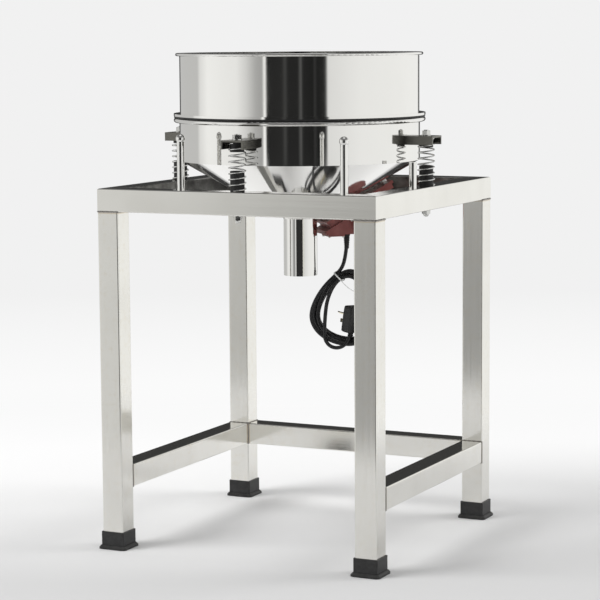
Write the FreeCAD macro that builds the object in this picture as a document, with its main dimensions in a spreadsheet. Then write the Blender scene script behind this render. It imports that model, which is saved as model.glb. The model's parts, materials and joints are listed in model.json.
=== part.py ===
import FreeCAD, Part
import math
import os
import re
import Sketcher

# Vibrating sieve: a round sieve bowl with a cone and an outlet pipe, carried on four coil springs
# by a square stand, and shaken by an unbalanced motor under the cone.
# Millimetres, +Z up. The origin is the centre of the stand on the floor, -Y is the open front.

doc = FreeCAD.newDocument("vibrating_sieve")
sheet = doc.addObject("Spreadsheet::Sheet", "Sizes")

SIZES = [
    # stand
    ("tube_side", 38, "side of the square tube"),
    ("tube_wall", 1.5, "wall of the square tube"),
    ("tube_corner", 2.2, "rounded corner of the square tube"),
    ("table_top", 603.5, "top of the upper rails above the floor"),
    ("lower_rail_base", 101, "underside of the lower rails above the floor"),
    ("boot_sole", 5, "rubber under a leg"),
    ("boot_wall", 2, "rubber round a leg"),
    ("boot_height", 29, "height of a rubber boot"),
    ("boot_flange", 4.5, "overhang of a boot's foot past its wall"),
    ("boot_flange_rise", 6, "height of that foot"),
    ("boot_slope", 3.2, "sloped upper edge of that foot"),
    ("boot_gap", 0.15, "clearance of a boot round its leg"),
    ("boot_corner", 2.2, "rounded upright edges of a boot"),
    # posts
    ("post_radius", 6.2, "stop post"),
    ("post_cap_radius", 7.8, "domed cap of a stop post"),
    ("post_height", 83, "stop post up to the middle of its cap"),
    ("front_post_right", 188, "front post from the middle, to the right"),
    ("front_post_left", 103, "front post from the middle, to the left"),
    ("side_post_front", 57, "side post from the middle, to the front"),
    ("side_post_height", 42, "plain side post"),
    # springs and what centres them
    ("spring_clearance", 28, "springs' middle outside the bowl's wall"),
    ("spring_length", 79.5, "height of a spring between rail and ear"),
    ("spring_radius", 14.5, "outer radius of a spring"),
    ("spring_wire", 2.4, "wire diameter"),
    ("spring_turns", 8, "turns of a spring"),
    ("spring_end_gap", 0.3, "free play at each end of a spring"),
    ("core_gap", 0.5, "clearance of the rubber inside a spring"),
    ("core_height", 33, "rubber core standing on the rail"),
    ("core_recess_radius", 8.5, "recess for the bolt head"),
    ("core_recess_depth", 8, "depth of that recess"),
    ("seat_height", 16, "rubber seat hanging under the ear"),
    # fasteners of the suspension
    ("bolt_radius", 4, "M8 bolt"),
    ("bolt_hole_gap", 0.25, "clearance round a bolt"),
    ("hex_radius", 7.5, "hexagon across its corners, as a radius"),
    ("head_height", 5.3, "bolt head"),
    ("nut_height", 6.5, "hexagon nut"),
    ("thread_end", 1.5, "bolt end past its nut"),
    ("washer_radius", 8, "washer"),
    ("washer_thickness", 1.6, "washer"),
    ("dome_radius", 5.2, "dome of a cap nut"),
    # bowl
    ("sheet", 1.5, "stainless sheet of bowl, cone, pipe and drum"),
    ("bowl_radius", 203, "outer radius of the bowl's wall"),
    ("bowl_height", 72, "bowl's wall with its bead"),
    ("bead_radius", 4, "rolled bead of the bowl"),
    ("bead_offset", 5.5, "middle of the bead outside the wall"),
    ("ear_drop", 29, "bead's top above the ears"),
    ("cone_height", 100, "height of the cone"),
    ("pipe_radius", 28.5, "outer radius of the outlet pipe"),
    ("pipe_length", 97, "outlet pipe below the cone"),
    ("ear_width", 40, "width of an ear"),
    ("ear_height", 14.5, "height of an ear"),
    ("ear_sheet", 3, "sheet of an ear"),
    ("ear_end", 19, "end of an ear past the middle of its spring"),
    # drum and screen
    ("drum_inset", 1, "drum's wall inside the bowl's wall"),
    ("drum_height", 105, "drum from its flange's underside to its bead's middle"),
    ("drum_bead_radius", 2.5, "rolled bead on the drum's rim"),
    ("drum_bead_offset", 4.2, "middle of that bead outside the wall"),
    ("flange_overhang", 10.5, "drum's flange past its wall"),
    ("flange_thickness", 4, "flange under the drum"),
    ("gasket_thickness", 3, "rubber ring between bowl and drum"),
    ("gasket_margin", 0.5, "flange's edge past the gasket"),
    ("screen_ring_width", 9, "flat ring that holds the mesh"),
    ("screen_overlap", 3, "mesh ring's reach over the bowl's lip"),
    ("mesh_thickness", 0.8, "woven mesh"),
    # motor
    ("motor_heading", 45, "direction of the motor from the axis, from +X to +Y"),
    ("stand_off", 10, "cone to mounting plate"),
    ("plate_thickness", 5, "mounting plate"),
    ("plate_start", 4, "mounting plate's start up the cone"),
    ("plate_length", 138, "mounting plate along the cone"),
    ("web_thickness", 4, "web between cone and plate"),
    ("web_spread", 8, "webs from the middle"),
    ("foot_thickness", 8, "foot of the motor housing"),
    ("foot_margin", 3, "plate's edge past the motor's foot"),
    ("motor_station", 66, "motor's shaft up the cone"),
    ("housing_radius", 27, "motor housing"),
    ("housing_length", 52, "motor housing along the shaft"),
    ("stator_seat", 23, "bore of the housing, radius"),
    ("stator_margin", 12, "housing's end past the stator stack"),
    ("stator_bore", 14.5, "stator's bore, radius"),
    ("air_gap", 0.5, "stator to rotor"),
    ("shield_thickness", 5, "end shield outside the housing"),
    ("shield_register", 9, "end shield inside the housing"),
    ("cover_length", 15, "weight cover"),
    ("cover_wall", 1.5, "weight cover"),
    ("shaft_radius", 5, "motor shaft"),
    ("bearing_radius", 13, "ball bearing"),
    ("bearing_width", 8, "ball bearing"),
    ("running_gap", 0.05, "shaft in a bearing"),
    ("shaft_gap", 1.5, "shaft in an end shield"),
    ("weight_clearance", 1.8, "eccentric weight inside its cover"),
    ("weight_width", 8, "eccentric weight"),
    ("weight_gap", 1.5, "eccentric weight to shield and cover"),
    ("motor_bolt_end", 12, "motor bolts from the plate's ends"),
    ("motor_bolt_spread", 19, "motor bolts from the middle"),
    ("motor_bolt_radius", 3, "M6 bolt"),
    ("motor_hex_radius", 5.6, "its hexagon"),
    ("motor_nut_height", 5, "its nut and its head"),
    ("tool_gap", 1, "room round a bolt head"),
    ("shield_screw_circle", 24.8, "screws of an end shield"),
    ("shield_screw_radius", 1.5, "M3 screw"),
    ("shield_screw_length", 8, "M3 screw in the housing"),
    ("shield_head_radius", 2.7, "M3 screw head"),
    ("shield_head_height", 3, "M3 screw head"),
    ("cover_gap", 0.3, "weight cover to the screw heads"),
    # terminal box
    ("box_end", 14.65, "outer end of the terminal box short of the motor's axis"),
    ("box_length", 55, "terminal box from that end towards the pipe"),
    ("box_drop", 24.375, "underside of the terminal box below the motor's axis"),
    ("box_inset", 1, "sides of the terminal box inside the shields' faces"),
    ("pocket_end", 26, "wiring space short of the box's outer end"),
    ("pocket_length", 20, "wiring space from there towards the pipe"),
    ("pocket_wall", 7, "wall between the wiring space and the box's front side"),
    ("pocket_far", 3, "wiring space past the box's middle"),
    ("pocket_depth", 6, "wiring space"),
    ("cover_edge", 4.5, "cover's edge past the wiring space"),
    ("cover_plate", 3.5, "cover of the wiring space"),
    ("cover_screw_radius", 2, "M4 screw head"),
    ("cover_screw_head", 1.8, "M4 screw head"),
    # cord
    ("grommet_end", 12.5, "cord's exit short of the box's outer end"),
    ("grommet_side", 12, "cord's exit towards the front"),
    ("grommet_radius", 6, "rubber grommet"),
    ("grommet_drop", 3, "grommet under the box"),
    ("grommet_lip", 1.5, "grommet's rim past its hole"),
    ("grommet_depth", 2, "grommet inside its hole"),
    ("cord_radius", 3.25, "mains cord"),
    ("cord_entry", 7, "cord inside the box"),
    ("hank_heading", 10.75, "direction that the hank hangs along, from +X to +Y"),
    ("hank_shift", 6, "hank's middle to the left of the cord's exit"),
    ("hank_drop", 126.6, "hank's middle below the terminal box"),
    ("hank_radius", 56.4, "outer radius of the hank's ends"),
    ("hank_straight", 22, "straight stretch between its ends"),
    ("hank_strand", 15.4, "bundle seen from the front"),
    ("hank_thickness", 19.2, "bundle from front to back"),
    ("tie_shift", 7, "twist tie to the left of the hank's middle"),
    ("tie_width", 2.6, "twist tie"),
    ("tie_gap", 1, "twist tie round the bundle"),
    ("tie_thickness", 1.2, "twist tie"),
    ("tail_length", 36, "twisted tail of the tie"),
    ("tail_width", 1.6, "twisted tail of the tie"),
    ("tail_thickness", 0.8, "twisted tail of the tie"),
    ("plug_width", 32, "plug"),
    ("plug_thickness", 20, "plug"),
    ("plug_height", 46, "plug"),
    ("plug_round", 3, "rounded edges of the plug"),
    ("plug_turn", 60, "plug's turn from the hank"),
    ("plug_lean", 7.5, "plug's lean in the hank's plane"),
    ("plug_room", 0.3, "strands kept clear of the plug"),
    ("plug_shift", 12.6, "plug to the right of the hank's middle"),
    ("plug_neck_radius", 5, "strain relief of the plug"),
    ("plug_neck_length", 10, "strain relief of the plug"),
    ("plug_neck_seat", 1.7, "strain relief's end in the hank"),
    ("pin_length", 17, "plug pin"),
    ("pin_width", 6.3, "plug pin"),
    ("pin_thickness", 1.6, "plug pin"),
    ("pin_spread", 7, "plug pins from the middle"),
]

# Levels and sizes that follow from the sheet, as expressions of its values.
DERIVED = {
    "spring_circle": "bowl_radius + spring_clearance",
    "frame_width": "2 * spring_circle + tube_side",
    "ear_reach": "spring_circle + ear_end",
    "drum_radius": "bowl_radius - drum_inset",
    "flange_radius": "drum_radius + flange_overhang",
    "rail_base": "table_top - tube_side",
    "core_radius": "spring_radius - spring_wire - core_gap",
    "bolt_hole": "bolt_radius + bolt_hole_gap",
    "web_level": "table_top + spring_length",
    "ear_top": "web_level + ear_sheet",
    "bowl_top": "ear_top + ear_drop",
    "bowl_base": "bowl_top - bowl_height",
    "bead_ring": "bowl_radius + bead_offset",
    "cone_base": "bowl_base - cone_height",
    "cone_slope": "atan(cone_height / (bowl_radius - pipe_radius))",
    "cone_rise": "sheet / cos(cone_slope)",
    "cone_lip": "cone_rise / tan(cone_slope)",
    "gasket_top": "bowl_top + gasket_thickness",
    "drum_top": "gasket_top + drum_height",
    "drum_bead_ring": "drum_radius + drum_bead_offset",
    "screen_outer": "bowl_radius - sheet + screen_overlap",
    "plate_top": "0 - stand_off",
    "plate_base": "plate_top - plate_thickness",
    "foot_base": "plate_base - foot_thickness",
    "foot_length": "plate_length - 2 * foot_margin",
    "plate_width": "housing_length + 2 * foot_margin",
    "motor_axis": "plate_base - housing_radius",
    "motor_hole": "motor_bolt_radius + bolt_hole_gap",
    "rotor_radius": "stator_bore - air_gap",
    "shield_face": "housing_length / 2 + shield_thickness",
    "shield_seat": "housing_length / 2 - shield_register",
    "weight_start": "shield_face + weight_gap",
    "shaft_length": "2 * (weight_start + weight_width)",
    "cover_radius": "shield_screw_circle - shield_head_radius - cover_gap",
    "weight_radius": "cover_radius - cover_wall - weight_clearance",
    "stator_length": "housing_length - 2 * stator_margin",
    "motor_reach": "pipe_radius + motor_station * cos(cone_slope) - motor_axis * sin(cone_slope)",
    "motor_level": "cone_base + motor_station * sin(cone_slope) + motor_axis * cos(cone_slope)",
    "box_outer": "motor_reach - box_end",
    "box_inner": "box_outer - box_length",
    "box_floor": "motor_level - box_drop",
    "box_side": "shield_face - box_inset",
    "pocket_outer": "box_outer - pocket_end",
    "pocket_inner": "pocket_outer - pocket_length",
    "pocket_near": "box_side - pocket_wall",
    "grommet_station": "box_outer - grommet_end",
    "cover_floor": "box_floor - cover_plate",
    "grommet_hole": "grommet_radius - grommet_lip",
    "exit_x": "grommet_station * cos(motor_heading) + grommet_side * sin(motor_heading)",
    "exit_y": "grommet_station * sin(motor_heading) - grommet_side * cos(motor_heading)",
    "exit_side": "exit_x * cos(hank_heading) + exit_y * sin(hank_heading)",
    "hank_depth": "exit_y * cos(hank_heading) - exit_x * sin(hank_heading)",
    "hank_middle": "exit_side - hank_shift",
    "hank_level": "box_floor - hank_drop",
    "plug_base": "hank_level - hank_straight / 2 - hank_inner + plug_neck_length - plug_neck_seat",
    "hank_inner": "hank_radius - hank_strand",
}
ALIASES = [alias for alias, number, meaning in SIZES]
WORD = re.compile(r"[a-z_]+")


def sized(text):
    """Turns a rule in plain names into an expression on the sheet."""
    def swap(match):
        word = match.group(0)
        if word in DERIVED:
            return "(" + sized(DERIVED[word]) + ")"
        return "Sizes." + word if word in ALIASES else word
    return WORD.sub(swap, str(text))


def number(text):
    """Reads a rule's value from the sheet."""
    value = sheet.evalExpression(sized(text))
    return float(getattr(value, "Value", value))


def fill_sheet():
    for row, (alias, size, meaning) in enumerate(SIZES, start=1):
        sheet.set(f"A{row}", meaning)
        sheet.set(f"B{row}", str(size))
        sheet.setAlias(f"B{row}", alias)
    doc.recompute()


def bind(thing, **rules):
    """Binds properties of an object to the sheet: Base_x stands for Placement.Base.x."""
    for name, rule in rules.items():
        path = "Placement.Base." + name[-1] if name.startswith("Base_") else name
        thing.setExpression(path, sized(rule))
    return thing


def place(thing, x="0", y="0", z="0", turn="rotationz(0)"):
    thing.setExpression("Placement", sized(f"placement(vector({x}; {y}; {z}); {turn})"))
    return thing


def box(name, x, y, z, length, width, height):
    solid = doc.addObject("Part::Box", name)
    return bind(solid, Base_x=x, Base_y=y, Base_z=z, Length=length, Width=width, Height=height)


def cylinder(name, radius, height, x="0", y="0", z="0", turn="rotationz(0)"):
    solid = doc.addObject("Part::Cylinder", name)
    return place(bind(solid, Radius=radius, Height=height), x, y, z, turn)


def hexagon(name, radius, height, z="0"):
    solid = doc.addObject("Part::Prism", name)
    solid.Polygon = 6
    return bind(solid, Circumradius=radius, Height=height, Base_z=z)


def fuse(name, *solids):
    whole = doc.addObject("Part::MultiFuse", name)
    whole.Shapes = list(solids)
    return whole


def cut(name, base, tool):
    rest = doc.addObject("Part::Cut", name)
    rest.Base = base
    rest.Tool = tool
    return rest


def copies(name, original, spots):
    """Sets linked copies of one solid at spots (x, y, z, turn) and joins them in one node."""
    group = doc.addObject("Part::Compound", name)
    links = []
    for index, spot in enumerate(spots):
        link = doc.addObject("App::Link", f"{name}_{index}")
        link.LinkedObject = original
        link.LinkTransform = True
        links.append(place(link, *spot))
    group.Links = links
    return group


def new_body(name):
    return doc.addObject("PartDesign::Body", name)


def plane_of(body, role):
    return next(plane for plane in body.Origin.OriginFeatures if plane.Role == role)


def new_sketch(body, role):
    sketch = body.newObject("Sketcher::SketchObject", body.Name + "_sketch")
    sketch.AttachmentSupport = (plane_of(body, role), [""])
    sketch.MapMode = "FlatFace"
    return sketch


def dimension(sketch, kind, where, rule):
    """Adds a driving dimension and binds it to the sheet."""
    index = sketch.addConstraint(Sketcher.Constraint(kind, *where, number(rule)))
    sketch.setExpression(f"Constraints[{index}]", sized(rule))


def draw_polygon(sketch, corners):
    first = sketch.GeometryCount
    spots = [FreeCAD.Vector(number(x), number(y), 0) for x, y in corners]
    for start, end in zip(spots, spots[1:] + spots[:1]):
        sketch.addGeometry(Part.LineSegment(start, end))
    count = len(corners)
    for index in range(count):
        following = first + (index + 1) % count
        sketch.addConstraint(Sketcher.Constraint("Coincident", first + index, 2, following, 1))
    for index, (x, y) in enumerate(corners):
        dimension(sketch, "DistanceX", (-1, 1, first + index, 1), x)
        dimension(sketch, "DistanceY", (-1, 1, first + index, 1), y)


def draw_rectangle(sketch, left, low, right, high):
    draw_polygon(sketch, [(left, low), (right, low), (right, high), (left, high)])


def draw_circle(sketch, x, y, radius):
    centre = FreeCAD.Vector(number(x), number(y), 0)
    index = sketch.addGeometry(Part.Circle(centre, FreeCAD.Vector(0, 0, 1), number(radius)))
    dimension(sketch, "DistanceX", (-1, 1, index, 3), x)
    dimension(sketch, "DistanceY", (-1, 1, index, 3), y)
    dimension(sketch, "Radius", (index,), radius)


def pad(body, sketch, length, midplane=False):
    feature = body.newObject("PartDesign::Pad", body.Name + "_pad")
    feature.Profile = sketch
    feature.Midplane = midplane
    return bind(feature, Length=length)


def pocket_through(body, sketch):
    feature = body.newObject("PartDesign::Pocket", body.Name + "_hole")
    feature.Profile = sketch
    feature.Type = "ThroughAll"
    feature.Midplane = True
    return feature


def round_edges(body, radius, wanted):
    """Rounds the straight edges of the body's last feature that the test picks by their ends."""
    doc.recompute()
    base = body.Tip
    names = []
    for index, edge in enumerate(base.Shape.Edges, start=1):
        start, end = (vertex.Point for vertex in (edge.Vertexes[0], edge.Vertexes[-1]))
        if wanted(start, end):
            names.append(f"Edge{index}")
    feature = body.newObject("PartDesign::Fillet", body.Name + "_round")
    feature.Base = (base, names)
    return bind(feature, Radius=radius)


def slope_rim(body, size, level):
    """Slopes off the edges of the body's last feature that lie at one level."""
    doc.recompute()
    base = body.Tip
    names = [f"Edge{index}" for index, edge in enumerate(base.Shape.Edges, start=1)
             if all(abs(vertex.Z - level) < TOUCHING for vertex in edge.Vertexes)]
    feature = body.newObject("PartDesign::Chamfer", body.Name + "_slope")
    feature.Base = (base, names)
    return bind(feature, Size=size)


def is_along(axis, shortest=0):
    """Picks the edges that run mostly along an axis, and are longer than the shortest."""
    def wanted(start, end):
        run = end - start
        return abs(run.dot(axis)) > max(0.7 * run.Length, shortest)
    return wanted


def revolve(body, sketch):
    feature = body.newObject("PartDesign::Revolution", body.Name + "_turn")
    feature.Profile = sketch
    feature.ReferenceAxis = (sketch, ["V_Axis"])
    feature.Angle = 360
    return feature


def turned(name, outline):
    """A body turned about Z from an outline of (radius, height) corners."""
    body = new_body(name)
    sketch = new_sketch(body, "XZ_Plane")
    draw_polygon(sketch, outline)
    revolve(body, sketch)
    return body


def turned_ring(name, inner, outer, low, high):
    return turned(name, [(inner, low), (outer, low), (outer, high), (inner, high)])


# The four sides of the stand and the bowl, counted anticlockwise from the front.
SIDES = [("front", -90), ("right", 0), ("back", 90), ("left", 180)]
TOUCHING = 1e-6
UP = FreeCAD.Vector(0, 0, 1)
ACROSS = FreeCAD.Vector(0, 1, 0)
CORNERS = [("front_left", -1, -1), ("front_right", 1, -1), ("back_left", -1, 1), ("back_right", 1, 1)]


def legs():
    nodes = []
    for corner, side_x, side_y in CORNERS:
        leg = new_body("leg_" + corner)
        section = new_sketch(leg, "XY_Plane")
        draw_rectangle(section, "0 - tube_side / 2", "0 - tube_side / 2", "tube_side / 2", "tube_side / 2")
        pad(leg, section, "rail_base - boot_sole")
        round_edges(leg, "tube_corner", is_along(UP))
        inside = new_sketch(leg, "XY_Plane")
        half = "tube_side / 2 - tube_wall"
        draw_rectangle(inside, f"0 - ({half})", f"0 - ({half})", half, half)
        pocket_through(leg, inside)
        nodes.append(place(leg, f"{side_x} * spring_circle", f"{side_y} * spring_circle", "boot_sole"))
    return nodes


def boots():
    nodes = []
    for corner, side_x, side_y in CORNERS:
        boot = new_body("boot_" + corner)
        wall = "tube_side / 2 + boot_gap + boot_wall"
        foot = new_sketch(boot, "XY_Plane")
        edge = f"{wall} + boot_flange"
        draw_rectangle(foot, f"0 - ({edge})", f"0 - ({edge})", edge, edge)
        pad(boot, foot, "boot_flange_rise")
        round_edges(boot, "boot_corner + boot_flange", is_along(UP))
        slope_rim(boot, "boot_slope", number("boot_flange_rise"))
        outer = new_sketch(boot, "XY_Plane")
        draw_rectangle(outer, f"0 - ({wall})", f"0 - ({wall})", wall, wall)
        pad(boot, outer, "boot_height")
        round_edges(boot, "boot_corner", is_along(UP, number("boot_height") / 2))
        inside = new_sketch(boot, "XY_Plane")
        socket = "tube_side / 2 + boot_gap"
        draw_rectangle(inside, f"0 - ({socket})", f"0 - ({socket})", socket, socket)
        inside.setExpression("AttachmentOffset.Base.z", sized("boot_sole"))
        hollow = boot.newObject("PartDesign::Pocket", boot.Name + "_socket")
        hollow.Profile = inside
        hollow.Type = "ThroughAll"
        hollow.Reversed = True
        nodes.append(place(boot, f"{side_x} * spring_circle", f"{side_y} * spring_circle"))
    return nodes


def top_rails():
    """Mitred square tubes, each with a bolt hole in its middle."""
    nodes = []
    half = "frame_width / 2"
    inner = "frame_width / 2 - tube_side"
    bore_inner = f"{inner} + tube_wall"
    bore_outer = f"{half} - tube_wall"
    for side, heading in SIDES:
        rail = new_body("top_rail_" + side)
        outline = new_sketch(rail, "XY_Plane")
        corners = [(half, f"0 - {half}"), (half, half), (inner, inner), (inner, f"0 - ({inner})")]
        draw_polygon(outline, corners)
        pad(rail, outline, "tube_side")
        round_edges(rail, "tube_corner", is_along(ACROSS))
        bore = new_sketch(rail, "XZ_Plane")
        draw_rectangle(bore, bore_inner, "tube_wall", bore_outer, "tube_side - tube_wall")
        pocket_through(rail, bore)
        hole = new_sketch(rail, "XY_Plane")
        draw_circle(hole, "spring_circle", "0", "bolt_hole")
        pocket_through(rail, hole)
        nodes.append(place(rail, z="rail_base", turn=f"rotationz({heading})"))
    return nodes


def lower_rails():
    nodes = []
    for side, heading in SIDES[1:]:
        rail = new_body("lower_rail_" + side)
        section = new_sketch(rail, "XZ_Plane")
        draw_rectangle(section, "0 - tube_side / 2", "0", "tube_side / 2", "tube_side")
        pad(rail, section, "frame_width - 2 * tube_side", midplane=True)
        round_edges(rail, "tube_corner", is_along(ACROSS))
        bore = new_sketch(rail, "XZ_Plane")
        draw_rectangle(bore, "tube_wall - tube_side / 2", "tube_wall",
                       "tube_side / 2 - tube_wall", "tube_side - tube_wall")
        pocket_through(rail, bore)
        across = round(math.cos(math.radians(heading)))
        along = round(math.sin(math.radians(heading)))
        nodes.append(place(rail, f"{across} * spring_circle", f"{along} * spring_circle",
                           "lower_rail_base", f"rotationz({heading})"))
    return nodes


def stop_posts():
    """Posts with domed caps that limit the bowl's swing, and a plain one at the side."""
    shank = cylinder("post_shank", "post_radius", "post_height")
    cap = bind(doc.addObject("Part::Sphere", "post_cap"), Radius="post_cap_radius", Base_z="post_height")
    post = fuse("post", shank, cap)
    capped = copies("capped_posts", post, [("front_post_right", "0 - spring_circle", "table_top"),
                                           ("0 - front_post_left", "0 - spring_circle", "table_top")])
    plain = cylinder("plain_post", "post_radius", "side_post_height",
                     "spring_circle", "0 - side_post_front", "table_top")
    posts = doc.addObject("Part::Compound", "stop_posts")
    posts.Links = [capped, plain]
    return [posts]


def round_the_sides(level):
    """The four places on the spring circle, each turned to face outwards."""
    spots = []
    for side, heading in SIDES:
        across = round(math.cos(math.radians(heading)))
        along = round(math.sin(math.radians(heading)))
        turn = f"rotationz({heading})"
        spots.append((f"{across} * spring_circle", f"{along} * spring_circle", level, turn))
    return spots


def springs():
    nodes = []
    lift = "spring_end_gap + spring_wire / 2"
    for (side, heading), spot in zip(SIDES, round_the_sides(f"table_top + {lift}")):
        spine = doc.addObject("Part::Helix", "helix_" + side)
        spine.SegmentLength = 1
        bind(spine, Radius="spring_radius - spring_wire / 2", Height=f"spring_length - 2 * ({lift})",
             Pitch=f"(spring_length - 2 * ({lift})) / spring_turns")
        wire = doc.addObject("Part::Circle", "wire_" + side)
        bind(wire, Radius="spring_wire / 2")
        place(wire, "spring_radius - spring_wire / 2", turn="rotationx(90)")
        coil = doc.addObject("Part::Sweep", "spring_" + side)
        coil.Sections = [wire]
        coil.Spine = (spine, [])
        coil.Solid = True
        coil.Frenet = True
        nodes.append(place(coil, *spot))
    return nodes


def spring_cores():
    """Rubber cores that stand on the rails inside the springs, with a recess for the bolt head."""
    recess = "core_height - core_recess_depth"
    core = turned("core", [("bolt_hole", "0"), ("core_radius", "0"), ("core_radius", "core_height"),
                           ("core_recess_radius", "core_height"), ("core_recess_radius", recess),
                           ("bolt_hole", recess)])
    return [copies("spring_cores", core, round_the_sides("table_top"))]


def core_bolts():
    """Bolts from the cores down through the rails, with washers and cap nuts below."""
    grip = "tube_side + core_height - core_recess_depth"
    shank = cylinder("core_shank", "bolt_radius", f"{grip} + washer_thickness + nut_height",
                     z="0 - washer_thickness - nut_height")
    head = hexagon("core_head", "hex_radius", "head_height", grip)
    bolt = fuse("core_bolt", shank, head)
    washer = turned_ring("core_washer", "bolt_hole", "washer_radius", "0 - washer_thickness", "0")
    below = "0 - washer_thickness - nut_height"
    body = hexagon("cap_nut_hexagon", "hex_radius", "nut_height", below)
    dome = bind(doc.addObject("Part::Sphere", "cap_nut_dome"), Radius="dome_radius", Base_z=below)
    nut = cut("cap_nut", fuse("cap_nut_solid", body, dome), shank)
    pair = doc.addObject("Part::Compound", "cap_nut_and_washer")
    pair.Links = [washer, nut]
    spots = round_the_sides("rail_base")
    return [copies("core_bolts", bolt, spots), copies("cap_nuts_and_washers", pair, spots)]


def bowl():
    """Bowl wall with a lip that runs out to its rolled bead."""
    inner = "bowl_radius - sheet"
    lip = "bowl_top - sheet"
    wall = turned("bowl", [(inner, "bowl_base"), ("bowl_radius", "bowl_base"), ("bowl_radius", lip),
                           ("bead_ring", lip), ("bead_ring", "bowl_top"), (inner, "bowl_top")])
    bead = new_sketch(wall, "XZ_Plane")
    draw_circle(bead, "bead_ring", "bowl_top - bead_radius", "bead_radius")
    revolve(wall, bead)
    return wall


def cone():
    lower = "cone_base + cone_rise"
    return turned("cone", [("pipe_radius", "cone_base"), ("bowl_radius", "bowl_base"),
                           ("bowl_radius - cone_lip", "bowl_base"), ("pipe_radius", lower)])


def outlet_pipe():
    return turned_ring("outlet_pipe", "pipe_radius - sheet", "pipe_radius",
                       "cone_base - pipe_length", "cone_base + cone_rise")


def ears():
    """Inverted channels that stand out of the bowl's wall over the springs."""
    nodes = []
    for side, heading in SIDES:
        ear = new_body("ear_" + side)
        profile = new_sketch(ear, "YZ_Plane")
        half = "ear_width / 2"
        slot = "ear_width / 2 - ear_sheet"
        foot = "ear_sheet - ear_height"
        draw_polygon(profile, [(f"0 - {half}", foot), (f"0 - ({slot})", foot), (f"0 - ({slot})", "0"),
                               (slot, "0"), (slot, foot), (half, foot), (half, "ear_sheet"),
                               (f"0 - {half}", "ear_sheet")])
        pad(ear, profile, "ear_reach")
        openings = new_sketch(ear, "XY_Plane")
        draw_circle(openings, "0", "0", "bowl_radius")
        pocket_through(ear, openings)
        hole = new_sketch(ear, "XY_Plane")
        draw_circle(hole, "spring_circle", "0", "bolt_hole")
        pocket_through(ear, hole)
        nodes.append(place(ear, z="web_level", turn=f"rotationz({heading})"))
    return nodes


def ear_fasteners():
    """Rubber seats under the ears, held by bolts with nuts on top."""
    recess = "head_height - seat_height"
    seat = turned("seat", [("bolt_hole", "0"), ("core_radius", "0"), ("core_radius", "0 - seat_height"),
                           ("core_recess_radius", "0 - seat_height"), ("core_recess_radius", recess),
                           ("bolt_hole", recess)])
    length = "seat_height - head_height + ear_sheet + washer_thickness + nut_height + thread_end"
    shank = cylinder("ear_shank", "bolt_radius", length, z=recess)
    bolt = fuse("ear_bolt", shank, hexagon("ear_head", "hex_radius", "head_height", "0 - seat_height"))
    washer_top = "ear_sheet + washer_thickness"
    washer = turned_ring("ear_washer", "bolt_hole", "washer_radius", "ear_sheet", washer_top)
    nut = cut("ear_nut", hexagon("ear_nut_solid", "hex_radius", "nut_height", washer_top), shank)
    pair = doc.addObject("Part::Compound", "nut_and_washer")
    pair.Links = [washer, nut]
    spots = round_the_sides("web_level")
    return [copies("spring_seats", seat, spots), copies("ear_bolts", bolt, spots),
            copies("ear_nuts_and_washers", pair, spots)]


def deck():
    """The drum that stands on the bowl, with its gasket and its screen."""
    inner = "drum_radius - sheet"
    lip = "drum_top - sheet"
    drum = turned("drum", [(inner, "gasket_top"), ("flange_radius", "gasket_top"),
                           ("flange_radius", "gasket_top + flange_thickness"),
                           ("drum_radius", "gasket_top + flange_thickness"), ("drum_radius", lip),
                           ("drum_bead_ring", lip), ("drum_bead_ring", "drum_top"), (inner, "drum_top")])
    bead = new_sketch(drum, "XZ_Plane")
    draw_circle(bead, "drum_bead_ring", "drum_top - drum_bead_radius", "drum_bead_radius")
    revolve(drum, bead)
    gasket = turned_ring("gasket", "screen_outer", "flange_radius - gasket_margin", "bowl_top", "gasket_top")
    ring_inner = "screen_outer - screen_ring_width"
    ring = turned_ring("screen_ring", ring_inner, "screen_outer", "bowl_top", "gasket_top")
    mesh = cylinder("screen_mesh", ring_inner, "mesh_thickness",
                    z="bowl_top + (gasket_thickness - mesh_thickness) / 2")
    return [drum, gasket, ring, mesh]


# The motor is built in a frame whose X runs up the cone, Y along the motor shaft and Z towards the
# cone, with its origin on the cone's lower edge.
AT_MOTOR = ("pipe_radius * cos(motor_heading)", "pipe_radius * sin(motor_heading)", "cone_base",
            "rotationz(motor_heading) * rotationy(-1 * cone_slope)")
ALONG_SHAFT = "rotationx(-90)"


def on_shaft(name, radius, length, start, station="motor_station", level="motor_axis"):
    """A cylinder along the motor shaft."""
    return cylinder(name, radius, length, station, start, level, ALONG_SHAFT)


def motor_bolt_spots(level):
    return [(f"plate_start + {along}", f"{side} * motor_bolt_spread", level)
            for along in ("motor_bolt_end", "plate_length - motor_bolt_end") for side in (-1, 1)]


def motor_mount():
    """Plate that stands off the cone on two webs, drilled for the motor's bolts."""
    plate = box("plate_blank", "plate_start", "0 - plate_width / 2", "plate_base",
                "plate_length", "plate_width", "plate_thickness")
    drill = cylinder("plate_drill", "motor_hole", "plate_thickness", z="plate_base")
    plate = cut("mount_plate", plate, copies("plate_holes", drill, motor_bolt_spots("0")))
    slabs = [box("web_blank_" + side, "plate_start + foot_margin", f"{spot} - web_thickness / 2", "plate_top",
                 "plate_length - 2 * foot_margin", "web_thickness", "3 * stand_off")
             for side, spot in (("near", "0 - web_spread"), ("far", "web_spread"))]
    webs = place(fuse("web_blanks", *slabs), *AT_MOTOR)
    hopper = doc.addObject("Part::Cone", "cone_envelope")
    bind(hopper, Radius1="pipe_radius", Radius2="bowl_radius", Height="cone_height", Base_z="cone_base")
    return [place(plate, *AT_MOTOR), cut("mount_webs", webs, hopper)]


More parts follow.
